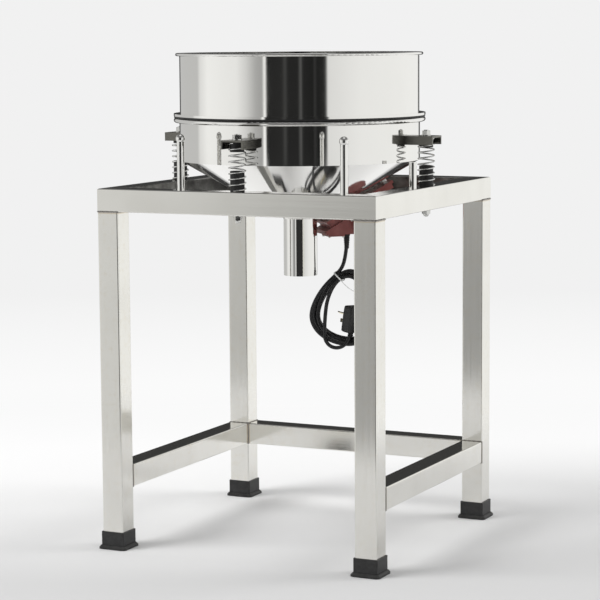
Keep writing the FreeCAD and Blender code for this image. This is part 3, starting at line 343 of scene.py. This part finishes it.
def wovenWire():
    # plain weave: two sets of waves, each over and under the other; the gaps between the wires are painted
    # shade, near black, for the shaded space seen through them
    material, tree, shader, where = newMaterial("wovenWire")
    parts = put(tree, "SeparateXYZ", {}, {0: where}).outputs
    turns = math.pi / weave["pitch"]
    across = calc(tree, "ABSOLUTE", calc(tree, "SINE", calc(tree, "MULTIPLY", parts[0], turns)))
    along = calc(tree, "ABSOLUTE", calc(tree, "SINE", calc(tree, "MULTIPLY", parts[1], turns)))
    over = calc(tree, "MULTIPLY", calc(tree, "SINE", calc(tree, "MULTIPLY", parts[0], turns)),
                 calc(tree, "SINE", calc(tree, "MULTIPLY", parts[1], turns)))
    wires = calc(tree, "MAXIMUM", across, along)
    mask = remap(tree, wires, 1 - weave["wire"] * 0.5, 1 - weave["wire"] * 0.2, 0.0, 1.0)
    tree.links.new(mixColour(tree, mask, weave["hole"], weave["metal"]), shader.inputs["Base Color"])
    height = calc(tree, "ADD", mask, calc(tree, "MULTIPLY", over, 0.3))
    bump = put(tree, "Bump", {}, {"Strength": 0.6, "Distance": 0.0003, "Height": height})
    tree.links.new(bump.outputs[0], shader.inputs["Normal"])
    tree.links.new(remap(tree, mask, 0.0, 1.0, 0.9, 0.32), shader.inputs["Roughness"])
    shader.inputs["Metallic"].default_value = 0.9
    return material


def makeMaterials(groups):
    box = {name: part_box(name) for name in ("top_rail_right", "leg_front_right")}
    railBase = box["top_rail_right"][0].z
    legInner = box["leg_front_right"][0].x
    legWelds = [(2, railBase)]
    made = {
        "legSteel": tubeSteel(groups, "legSteel", 2, legWelds),
        "railSteelAlongX": tubeSteel(groups, "railSteelAlongX", 0, [(0, legInner)]),
        # the top rails carry painted shade on their faces towards the middle
        "topRailSteelAlongX": tubeSteel(groups, "topRailSteelAlongX", 0, paintedShadeInside=True),
        "topRailSteelAlongY": tubeSteel(groups, "topRailSteelAlongY", 1, paintedShadeInside=True),
        # the ears' dark colour is painted shade: a painted dark reflection of the dark surroundings they
        # mirror
        "earSteelPaintedShade": plainSteel(groups, "earSteelPaintedShade", (0.21, 0.205, 0.185, 1), 0.22, 0.4, (60, 60, 1500)),
        "railSteelAlongY": tubeSteel(groups, "railSteelAlongY", 1, [(1, legInner)]),
        "polishedSteel": polishedSteel(groups),
        "postSteel": polishedSteel(groups, "postSteel", 0.06, 0.16),
        "satinSteel": plainSteel(groups, "satinSteel", (0.62, 0.61, 0.58, 1), 0.18, 0.34, (60, 60, 1500)),
        "springSteel": plainSteel(groups, "springSteel", (0.80, 0.80, 0.79, 1), 0.12, 0.24,
                                  (900, 900, 900), 0.05),
        "zincSteel": plainSteel(groups, "zincSteel", (0.74, 0.74, 0.72, 1), 0.14, 0.32, (700, 700, 700)),
        "machinedSteel": plainSteel(groups, "machinedSteel", (0.62, 0.62, 0.61, 1), 0.16, 0.3,
                                    (90, 90, 2200)),
        "laminatedSteel": plainSteel(groups, "laminatedSteel", (0.34, 0.34, 0.35, 1), 0.35, 0.6,
                                     (2600, 60, 60), 0.4),
        "wovenWire": wovenWire(),
        "bootRubber": rubber(groups, "bootRubber", (0.016, 0.016, 0.016, 1), 0.34, 0.55, 0.2),
        "blackRubber": rubber(groups, "blackRubber", (0.014, 0.014, 0.014, 1), 0.5, 0.75, 0.3),
        "cordRubber": rubber(groups, "cordRubber", (0.012, 0.012, 0.013, 1), 0.3, 0.48, 0.05, 2200.0),
        "plugPlastic": rubber(groups, "plugPlastic", (0.016, 0.016, 0.016, 1), 0.38, 0.55, 0.06, 1800.0),
        "tiePlastic": rubber(groups, "tiePlastic", (0.62, 0.63, 0.62, 1), 0.3, 0.45, 0.0, 1500.0),
        "redPaint": redPaint(groups),
        "pinBrass": plainSteel(groups, "pinBrass", (0.76, 0.68, 0.46, 1), 0.12, 0.28, (300, 300, 1500)),
        "weldSteel": plainSteel(groups, "weldSteel", (0.42, 0.40, 0.38, 1), 0.28, 0.5, (600, 600, 600), 0.3),
    }
    print("materials made,", len(made))
    return made


def meshPiece(name, points, faces, material, sharpAngle=40):
    data = bpy.data.meshes.new(name)
    data.from_pydata([tuple(point) for point in points], [], faces)
    data.update()
    data.shade_smooth()
    data.set_sharp_from_angle(angle=math.radians(sharpAngle))
    data.materials.append(material)
    piece = bpy.data.objects.new(name, data)
    scene.collection.objects.link(piece)
    return piece


def loft(rings, closedPath=False):
    # points and faces of a skin over rings that have the same number of points
    count = len(rings[0])
    points = [point for ring in rings for point in ring]
    faces = []
    steps = len(rings) if closedPath else len(rings) - 1
    for index in range(steps):
        start, after = index * count, ((index + 1) % len(rings)) * count
        for side in range(count):
            other = (side + 1) % count
            faces.append((start + side, start + other, after + other, after + side))
    if not closedPath:
        faces.append(tuple(reversed(range(count))))
        faces.append(tuple(range(len(points) - count, len(points))))
    return points, faces


def roundedOutline(halfWide, halfDeep, corner, steps=5):
    outline = []
    for quarter, (signX, signY) in enumerate(((1, 1), (-1, 1), (-1, -1), (1, -1))):
        for step in range(steps + 1):
            angle = math.pi / 2 * (quarter + step / steps)
            outline.append((signX * (halfWide - corner) + corner * math.cos(angle),
                            signY * (halfDeep - corner) + corner * math.sin(angle)))
    return outline


cordPlan = {
    "exit": (0.06470, 0.04773, 0.515), "heading": 10.75, "seat": 0.003, "diameter": 0.0065, "length": 1.63,
    "run": [(0, 0.003), (0, -0.020), (-0.0026, -0.040), (-0.0066, -0.056), (-0.0155, -0.0685)],
    "middle": (0.004, 0.3726), "perTurn": 16, "firstStep": 2, "lastStep": 5,
    "changeFrom": 1.15, "changeOver": 0.75,  # where a turn runs over into the next, in half turns
    # reach of each turn to its sides, up and down, its place from front to back, and how tightly it gathers
    "turns": [
        {"left": 0.0669, "right": 0.043, "top": 0.0804, "bottom": 0.0489, "back": -0.0068, "gather": 1.55},
        {"left": 0.0562, "right": 0.043, "top": 0.0790, "bottom": 0.0440, "back": 0.0, "gather": 1.6},
        {"left": 0.0645, "right": 0.043, "top": 0.0790, "bottom": 0.0475, "back": 0.0068, "gather": 1.55},
        {"left": 0.0575, "right": 0.0405, "top": 0.0720, "bottom": 0.0405, "back": 0.0068, "gather": 1.6},
        {"left": 0.0410, "right": 0.040, "top": 0.0708, "bottom": 0.0425, "back": -0.0068, "gather": 1.9},
    ],
    # the last stretch, in front of the turns and up into the plug: side, height, back
    "end": [(-0.0380, 0.3410, -0.0090), (-0.0352, 0.3297, -0.0115), (-0.0270, 0.3212, -0.0134),
            (-0.0157, 0.3181, -0.0136), (-0.0044, 0.3212, -0.0130), (0.0034, 0.3295, -0.0100),
            (0.0058, 0.3410, -0.0022), (0.0068, 0.3500, 0.0)],
}


def inHankPlane(side, height, back=0.0):
    exitX, exitY, _ = cordPlan["exit"]
    turn = math.radians(cordPlan["heading"])
    return Vector((exitX + side * math.cos(turn) - back * math.sin(turn),
                   exitY + side * math.sin(turn) + back * math.cos(turn), height))


def smoothStep(value):
    value = min(max(value, 0.0), 1.0)
    return value * value * (3 - 2 * value)


def turnPoints():
    turns = cordPlan["turns"]
    perTurn = cordPlan["perTurn"]
    middleSide, middleHeight = cordPlan["middle"]
    points = []
    for index, now in enumerate(turns):
        after = turns[min(index + 1, len(turns) - 1)]
        first = cordPlan["firstStep"] if index == 0 else 0
        last = cordPlan["lastStep"] if index == len(turns) - 1 else perTurn
        for step in range(first, last):
            angle = 2 * math.pi * step / perTurn
            change = smoothStep((angle / math.pi - cordPlan["changeFrom"]) / cordPlan["changeOver"])
            size = {key: now[key] + (after[key] - now[key]) * change for key in now}
            across, upward = math.sin(angle), math.cos(angle)
            if across >= 0 and upward >= 0:
                power = 2 / size["gather"]
                across, upward = across ** power, upward ** power
            side = middleSide - across * (size["left"] if across >= 0 else size["right"])
            height = middleHeight + upward * (size["top"] if upward >= 0 else size["bottom"])
            points.append(inHankPlane(side, height, size["back"]))
    return points


def makeCord(materials):
    exitHeight = cordPlan["exit"][2]
    route = [inHankPlane(side, exitHeight + rise) for side, rise in cordPlan["run"]]
    route += turnPoints()
    route += [inHankPlane(*point) for point in cordPlan["end"]]
    data = bpy.data.curves.new("mainsCord", "CURVE")
    data.dimensions = "3D"
    data.bevel_depth = cordPlan["diameter"] / 2
    data.bevel_resolution = 5
    data.resolution_u = 6
    data.use_fill_caps = True
    spline = data.splines.new("NURBS")
    spline.points.add(len(route) - 1)
    for point, place in zip(spline.points, route):
        point.co = (*place, 1)
    spline.order_u = 3
    spline.use_endpoint_u = True
    data.materials.append(materials["cordRubber"])
    cord = bpy.data.objects.new("mainsCord", data)
    scene.collection.objects.link(cord)
    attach(cord, "sieve_bowl")
    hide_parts("cord", "cord_hank")
    return cord


tiePlan = {"middle": (-0.0131, 0.4410), "slope": 45, "halfAcross": 0.0096, "halfDeep": 0.0114,
           "corner": 0.0045, "width": 0.0024, "skin": 0.0009,
           "tailTo": (0.0150, 0.4170), "tailFrom": 0.45, "tailSag": 0.0022,
           "tailStandOff": 0.001, "tailWidth": 0.0011, "tailThickness": 0.22, "twists": 9, "stepsPerTwist": 8}


def makeTie(materials):
    # a flat band round the bundle, and its two ends twisted together
    turn = math.radians(cordPlan["heading"])
    slope = math.radians(tiePlan["slope"])
    centre = inHankPlane(*tiePlan["middle"])
    sideways = Vector((math.cos(turn), math.sin(turn), 0))
    backwards = Vector((-math.sin(turn), math.cos(turn), 0))
    across = sideways * math.sin(slope) - Vector((0, 0, 1)) * math.cos(slope)
    along = across.cross(backwards).normalized()
    rings = []
    for outer, inner in zip(
            roundedOutline(tiePlan["halfAcross"] + tiePlan["skin"], tiePlan["halfDeep"] + tiePlan["skin"],
                           tiePlan["corner"] + tiePlan["skin"]),
            roundedOutline(tiePlan["halfAcross"], tiePlan["halfDeep"], tiePlan["corner"])):
        ring = []
        for (wide, deep), shift in ((outer, -0.5), (outer, 0.5), (inner, 0.5), (inner, -0.5)):
            ring.append(centre + across * wide + backwards * deep + along * shift * tiePlan["width"])
        rings.append(ring)
    points, faces = loft(rings, closedPath=True)
    start = centre + across * tiePlan["halfAcross"] * tiePlan["tailFrom"]
    start -= backwards * (tiePlan["halfDeep"] + tiePlan["skin"] * 0.6)
    run = inHankPlane(*tiePlan["tailTo"], -tiePlan["halfDeep"] - tiePlan["tailStandOff"]) - start
    steps = tiePlan["twists"] * tiePlan["stepsPerTwist"]
    tail = []
    for step in range(steps + 1):
        share = step / steps
        spot = start + run * share - Vector((0, 0, tiePlan["tailSag"])) * math.sin(share * math.pi)
        angle = math.pi * tiePlan["twists"] * share
        wide = backwards * math.cos(angle) + run.normalized().cross(backwards) * math.sin(angle)
        thin = run.normalized().cross(wide)
        half, thick = tiePlan["tailWidth"] / 2, tiePlan["tailWidth"] * tiePlan["tailThickness"]
        tail.append([spot + wide * half + thin * thick, spot - wide * half + thin * thick,
                     spot - wide * half - thin * thick, spot + wide * half - thin * thick])
    morePoints, moreFaces = loft(tail)
    shift = len(points)
    faces += [tuple(index + shift for index in face) for face in moreFaces]
    tie = meshPiece("cordTie", points + morePoints, faces, materials["tiePlastic"])
    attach(tie, "sieve_bowl")
    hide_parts("cord_tie")
    return tie


plugPlan = {"side": 0.0066, "base": 0.3447, "turn": 60, "lean": 7.5, "wide": 0.032, "deep": 0.020,
            "tall": 0.046, "neckRadius": 0.0050, "neckLength": 0.010, "ribs": 3,
            # along each rib of the neck, and its size there
            "rib": ((0.0, 0.80), (0.15, 0.97), (0.6, 0.97), (0.75, 0.80)),
            # how far the body draws in at its foot and its head: distance from that end, inset, corner radius
            "foot": ((0.0, 0.0035, 0.003), (0.0008, 0.0014, 0.0035), (0.0026, 0.0, 0.0035)),
            "head": ((0.0184, 0.0, 0.0035), (0.0030, 0.0004, 0.0035), (0.0008, 0.0012, 0.0035),
                     (0.0, 0.0032, 0.003))}


def makePlug(materials):
    # moulded body with soft ends and a ribbed neck
    halfWide, halfDeep, tall = plugPlan["wide"] / 2, plugPlan["deep"] / 2, plugPlan["tall"]
    sections = []
    neck = plugPlan["neckRadius"]
    for rib in range(plugPlan["ribs"]):
        low = -plugPlan["neckLength"] + rib * plugPlan["neckLength"] / plugPlan["ribs"]
        pitch = plugPlan["neckLength"] / plugPlan["ribs"]
        for share, size in plugPlan["rib"]:
            sections.append((low + share * pitch, neck * size, neck * size, neck * size * 0.98))
    ends = list(plugPlan["foot"]) + [(tall - down, inset, corner) for down, inset, corner in plugPlan["head"]]
    for height, inset, corner in ends:
        sections.append((height, halfWide - inset, halfDeep - inset, corner))
    rings = [[Vector((x, y, height)) for x, y in roundedOutline(wide, deep, corner, 6)]
             for height, wide, deep, corner in sections]
    place = Matrix.Translation(inHankPlane(plugPlan["side"], plugPlan["base"]))
    place = place @ Matrix.Rotation(math.radians(cordPlan["heading"]), 4, "Z")
    place = place @ Matrix.Rotation(math.radians(plugPlan["lean"]), 4, "Y")
    place = place @ Matrix.Rotation(math.radians(plugPlan["turn"]), 4, "Z")
    points, faces = loft(rings)
    plug = meshPiece("plugBody", [place @ point for point in points], faces, materials["plugPlastic"], 50)
    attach(plug, "sieve_bowl")
    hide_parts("plug")
    return plug


weld = {"radius": 0.0011, "pitch": 0.0020, "step": 0.0005, "sides": 8, "ripple": 0.15,
        "wander": 0.00025, "wanderRate": 700, "wanderStart": 90}


def weldBead(name, corners, material, body="stand"):
    # a rippled bead along straight runs, sunk halfway into the corner that it fills
    rings = []
    for start, end in zip(corners, corners[1:] + corners[:1]):
        run = end - start
        count = max(2, round(run.length / weld["step"]))
        forward = run.normalized()
        for step in range(count):
            distance = run.length * step / count
            swell = 1 + weld["ripple"] * math.sin(2 * math.pi * distance / weld["pitch"])
            wander = weld["wander"] * math.sin(distance * weld["wanderRate"] + start.x * weld["wanderStart"])
            centre = start + forward * distance + Vector((0, 0, wander))
            flat = forward.cross(Vector((0, 0, 1) if abs(forward.z) < 0.5 else (0, 1, 0)))
            upright = forward.cross(flat)
            turns = [2 * math.pi * side / weld["sides"] for side in range(weld["sides"])]
            rings.append([centre + (flat * math.cos(turn) + upright * math.sin(turn)) * weld["radius"] * swell
                          for turn in turns])
    points, faces = loft(rings, closedPath=True)
    piece = meshPiece(name, points, faces, material, 70)
    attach(piece, body)
    return piece


reliefPlan = {"length": 0.0235, "wide": 0.0056, "narrow": 0.0040, "rings": 6, "sides": 24,
              # along each ring, and how deep its groove is there
              "ring": ((0.0, 0.0), (0.55, 0.0), (0.62, 0.0007), (0.93, 0.0007))}


def makeRelief(materials):
    # tapered ribbed sleeve that guards the cord under the motor's box
    rings = []
    count, sides = reliefPlan["rings"], reliefPlan["sides"]
    for ring in range(count):
        for share, groove in reliefPlan["ring"]:
            down = (ring + share) / count
            radius = reliefPlan["wide"] + (reliefPlan["narrow"] - reliefPlan["wide"]) * down - groove
            middle = inHankPlane(0.0, cordPlan["exit"][2] - cordPlan["seat"] - reliefPlan["length"] * down)
            rings.append([middle + Vector((math.cos(turn), math.sin(turn), 0)) * radius
                          for turn in (2 * math.pi * side / sides for side in range(sides))])
    rings.reverse()
    points, faces = loft(rings)
    relief = meshPiece("cordRelief", points, faces, materials["blackRubber"], 35)
    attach(relief, "sieve_bowl")
    return relief


def makeWelds(materials):
    made = []
    for corner in ("front_left", "front_right", "back_left", "back_right"):
        low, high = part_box("leg_" + corner)
        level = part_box("top_rail_right")[0].z
        square = [Vector((low.x, low.y, level)), Vector((high.x, low.y, level)),
                  Vector((high.x, high.y, level)), Vector((low.x, high.y, level))]
        made.append(weldBead("weldLeg_" + corner, square, materials["weldSteel"]))
    for side in ("right", "left", "back"):
        low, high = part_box("lower_rail_" + side)
        for end in (0, 1):
            if side == "back":
                place = (low.x, high.x)[end]
                square = [Vector((place, low.y, low.z)), Vector((place, high.y, low.z)),
                          Vector((place, high.y, high.z)), Vector((place, low.y, high.z))]
            else:
                place = (low.y, high.y)[end]
                square = [Vector((low.x, place, low.z)), Vector((high.x, place, low.z)),
                          Vector((high.x, place, high.z)), Vector((low.x, place, high.z))]
            made.append(weldBead(f"weldRail_{side}_{end}", square, materials["weldSteel"]))
    print("welds made,", len(made))


finishOfSlot = {
    "tube_steel": "legSteel", "polished_steel": "polishedSteel", "satin_steel": "satinSteel",
    "spring_steel": "springSteel", "zinc_steel": "zincSteel", "machined_steel": "machinedSteel",
    "laminated_steel": "laminatedSteel", "woven_wire": "wovenWire", "boot_rubber": "bootRubber",
    "black_rubber": "blackRubber", "cord_rubber": "cordRubber", "red_paint": "redPaint",
    "tie_plastic": "tiePlastic", "plug_plastic": "plugPlastic", "pin_brass": "pinBrass",
}
finishOfNode = {
    "top_rail_front": "topRailSteelAlongX", "top_rail_back": "topRailSteelAlongX",
    "top_rail_right": "topRailSteelAlongY", "top_rail_left": "topRailSteelAlongY",
    "ear_front": "earSteelPaintedShade", "ear_right": "earSteelPaintedShade", "ear_back": "earSteelPaintedShade", "ear_left": "earSteelPaintedShade",
    "lower_rail_back": "railSteelAlongX",
    "lower_rail_right": "railSteelAlongY", "lower_rail_left": "railSteelAlongY", "stop_posts": "postSteel",
}


def finishNodes(materials):
    for part in frame["record"]["subparts"]:
        name = part["node"]
        material = materials[finishOfNode.get(name, finishOfSlot[part["material_slot"]])]
        node = cadNodes[name]
        if not node.data.materials:
            node.data.materials.append(material)
        for slot in node.material_slots:
            slot.material = material
    print("CAD nodes finished")


studio = {"background": 0.88, "fill": 0.62, "towardsCamera": -64.25, "warmth": 0.985,
          "horizonFrom": -0.072, "horizonTo": -0.055, "roofFrom": 0.28, "roofTo": 0.62, "roof": 0.20,
          "softboxFrom": 0.93, "softboxTo": 0.97, "softbox": 0.9,
          "aimHeight": 0.35,
          "key": {"place": (-2.6, -2.6, 3.6), "size": 2.6, "power": 150},
          "rim": {"place": (2.8, 1.6, 2.6), "size": 2.0, "power": 45}}

# what polished metal mirrors round the object: degrees from the camera's side, and brightness
roundDrum = [(-180, 0.04), (-164, 0.05), (-160, 0.56), (-114, 0.58), (-110, 0.80), (-98, 0.97),
             (-82, 0.94), (-62, 0.90), (-52, 0.72), (-42, 0.46), (-34.5, 0.38), (-34, 1.0), (-31.6, 1.0),
             (-31, 0.02), (-16, 0.025), (-13.5, 0.07), (-11, 0.02), (-1, 0.02), (1, 0.12), (3, 0.02),
             (13, 0.015), (14.5, 0.05), (16, 0.015), (22, 0.02), (25, 0.04), (26.5, 0.80), (60, 0.92),
             (128, 0.97), (157, 0.92), (164, 0.05), (180, 0.04)]
roundStand = [(-180, 0.04), (-164, 0.05), (-160, 0.56), (-114, 0.58), (-98, 0.90), (-70, 0.88), (-60, 0.78),
              (-55, 0.66), (-51.5, 0.42), (-47, 0.33), (-36, 0.34), (-34, 1.0), (-31, 1.0), (-29, 0.03),
              (22, 0.03), (26, 0.75), (60, 0.92), (128, 0.97), (157, 0.92), (164, 0.05), (180, 0.04)]


def levelsAlong(tree, value, levels, warmth=1.0):
    low, high = levels[0][0], levels[-1][0]
    ramp = put(tree, "ValToRGB", {}, {0: remap(tree, value, low, high, 0.0, 1.0)})
    stops = ramp.color_ramp.elements
    for index, (place, level) in enumerate(levels):
        position = (place - low) / (high - low)
        stop = stops[index] if index < 2 else stops.new(position)
        stop.position = position
        stop.color = (level, level, level * warmth, 1)
    return ramp.outputs[0]


def makeWorld():
    world = bpy.data.worlds.new("studio")
    scene.world = world
    world.use_nodes = True
    tree = world.node_tree
    tree.nodes.clear()
    direction = put(tree, "TexCoord").outputs["Generated"]
    turned = put(tree, "VectorRotate", {"rotation_type": "Z_AXIS"},
                 {"Vector": direction, "Angle": math.radians(-studio["towardsCamera"])}).outputs[0]
    parts = put(tree, "SeparateXYZ", {}, {0: turned}).outputs
    angle = calc(tree, "ARCTAN2", parts[1], parts[0])
    degrees = put(tree, "Math", {"operation": "DEGREES"}, {0: angle}).outputs[0]
    upper = remap(tree, parts[2], studio["horizonFrom"], studio["horizonTo"], 0.0, 1.0)
    mirrored = mixColour(tree, upper, levelsAlong(tree, degrees, roundStand, studio["warmth"]),
                         levelsAlong(tree, degrees, roundDrum, studio["warmth"]))
    roof, softbox = studio["roof"], studio["softbox"]
    overhead = remap(tree, parts[2], studio["roofFrom"], studio["roofTo"], 0.0, 1.0)
    mirrored = mixColour(tree, overhead, mirrored, (roof, roof, roof, 1))
    above = remap(tree, parts[2], studio["softboxFrom"], studio["softboxTo"], 0.0, 1.0)
    mirrored = mixColour(tree, above, mirrored, (softbox, softbox, softbox, 1))
    light = put(tree, "LightPath").outputs
    shiny = calc(tree, "MAXIMUM", light["Is Glossy Ray"], light["Is Transmission Ray"])
    fill = studio["fill"]
    colour = mixColour(tree, shiny, (fill, fill, fill, 1), mirrored)
    level = studio["background"]
    colour = mixColour(tree, light["Is Camera Ray"], colour, (level, level, level, 1))
    background = put(tree, "Background", {}, {"Color": colour, "Strength": 1.0})
    put(tree, "OutputWorld", {}, {"Surface": background.outputs[0]})


floorPlan = {"radius": 14.0, "sides": 96, "height": -0.0004, "mirroredRadius": 1.1, "mirroredEdge": 0.3,
             # how pale it is, as painted shade that darkens towards the front, by metres behind the object's
             # middle, and where it turns into the backdrop
             "paintedShadeTone": [(-0.35, 0.63), (0.0, 0.75), (0.3, 0.83), (0.8, 0.92)],
             "glow": [(0.8, 0.95), (1.6, 0.96), (3.5, 0.88), (6.0, 0.88)], "fadeFrom": 0.35, "fadeTo": 1.3}


def makeFloor():
    count, radius, height = floorPlan["sides"], floorPlan["radius"], floorPlan["height"]
    turns = [2 * math.pi * index / count for index in range(count)]
    points = [(0, 0, height)] + [(radius * math.cos(turn), radius * math.sin(turn), height) for turn in turns]
    faces = [(0, index + 1, (index + 1) % count + 1) for index in range(count)]
    material = bpy.data.materials.new("studioFloor")
    material.use_nodes = True
    tree = material.node_tree
    tree.nodes.clear()
    where = put(tree, "TexCoord").outputs["Object"]
    turned = put(tree, "VectorRotate", {"rotation_type": "Z_AXIS"},
                 {"Vector": where, "Angle": math.radians(-studio["towardsCamera"])}).outputs[0]
    behind = calc(tree, "MULTIPLY", put(tree, "SeparateXYZ", {}, {0: turned}).outputs[0], -1.0)
    fade = remap(tree, behind, floorPlan["fadeFrom"], floorPlan["fadeTo"], 0.0, 1.0)
    cloud = remap(tree, noise(tree, where, 1.3, 2.0), 0.3, 0.7, 0.985, 1.0)
    # painted shade: the floor's colour darkens towards the front
    shade = mixColour(tree, 1.0, levelsAlong(tree, behind, floorPlan["paintedShadeTone"]), cloud, "MULTIPLY")
    lit = put(tree, "BsdfDiffuse", {}, {"Color": shade})
    glow = put(tree, "Emission", {}, {"Color": levelsAlong(tree, behind, floorPlan["glow"]), "Strength": 1.0})
    clear = put(tree, "BsdfTransparent")
    light = put(tree, "LightPath").outputs
    faded = calc(tree, "MULTIPLY", fade, light["Is Camera Ray"])
    mixed = put(tree, "MixShader", {}, {0: faded, 1: lit.outputs[0], 2: glow.outputs[0]})
    distance = put(tree, "VectorMath", {"operation": "LENGTH"}, {0: where}).outputs["Value"]
    edge = floorPlan["mirroredRadius"]
    far = remap(tree, distance, edge, edge + floorPlan["mirroredEdge"], 0.0, 1.0)
    past = calc(tree, "MULTIPLY", far, light["Is Glossy Ray"])
    mixed = put(tree, "MixShader", {}, {0: past, 1: mixed.outputs[0], 2: clear.outputs[0]})
    put(tree, "OutputMaterial", {}, {"Surface": mixed.outputs[0]})
    floor = meshPiece("studioFloor", points, faces, material)


def makeLamp(name, plan):
    data = bpy.data.lights.new(name, "AREA")
    data.shape = "DISK"
    data.size = plan["size"]
    data.energy = plan["power"]
    lamp = bpy.data.objects.new(name, data)
    place = Vector(plan["place"])
    aim = (place - Vector((0, 0, studio["aimHeight"]))).to_track_quat("Z", "Y").to_matrix().to_4x4()
    lamp.matrix_world = Matrix.Translation(place) @ aim
    scene.collection.objects.link(lamp)
    lamp.visible_glossy = False


def makeStudio():
    makeWorld()
    makeFloor()
    makeLamp("keyLamp", studio["key"])
    makeLamp("rimLamp", studio["rim"])
    scene.view_settings.view_transform = "Standard"
    print("studio made")


makeCamera()
groups = makeGroups()
materials = makeMaterials(groups)
cord = makeCord(materials)
tie = makeTie(materials)
plug = makePlug(materials)
makeRelief(materials)
print("cord made")
makeWelds(materials)
finishNodes(materials)
makeStudio()
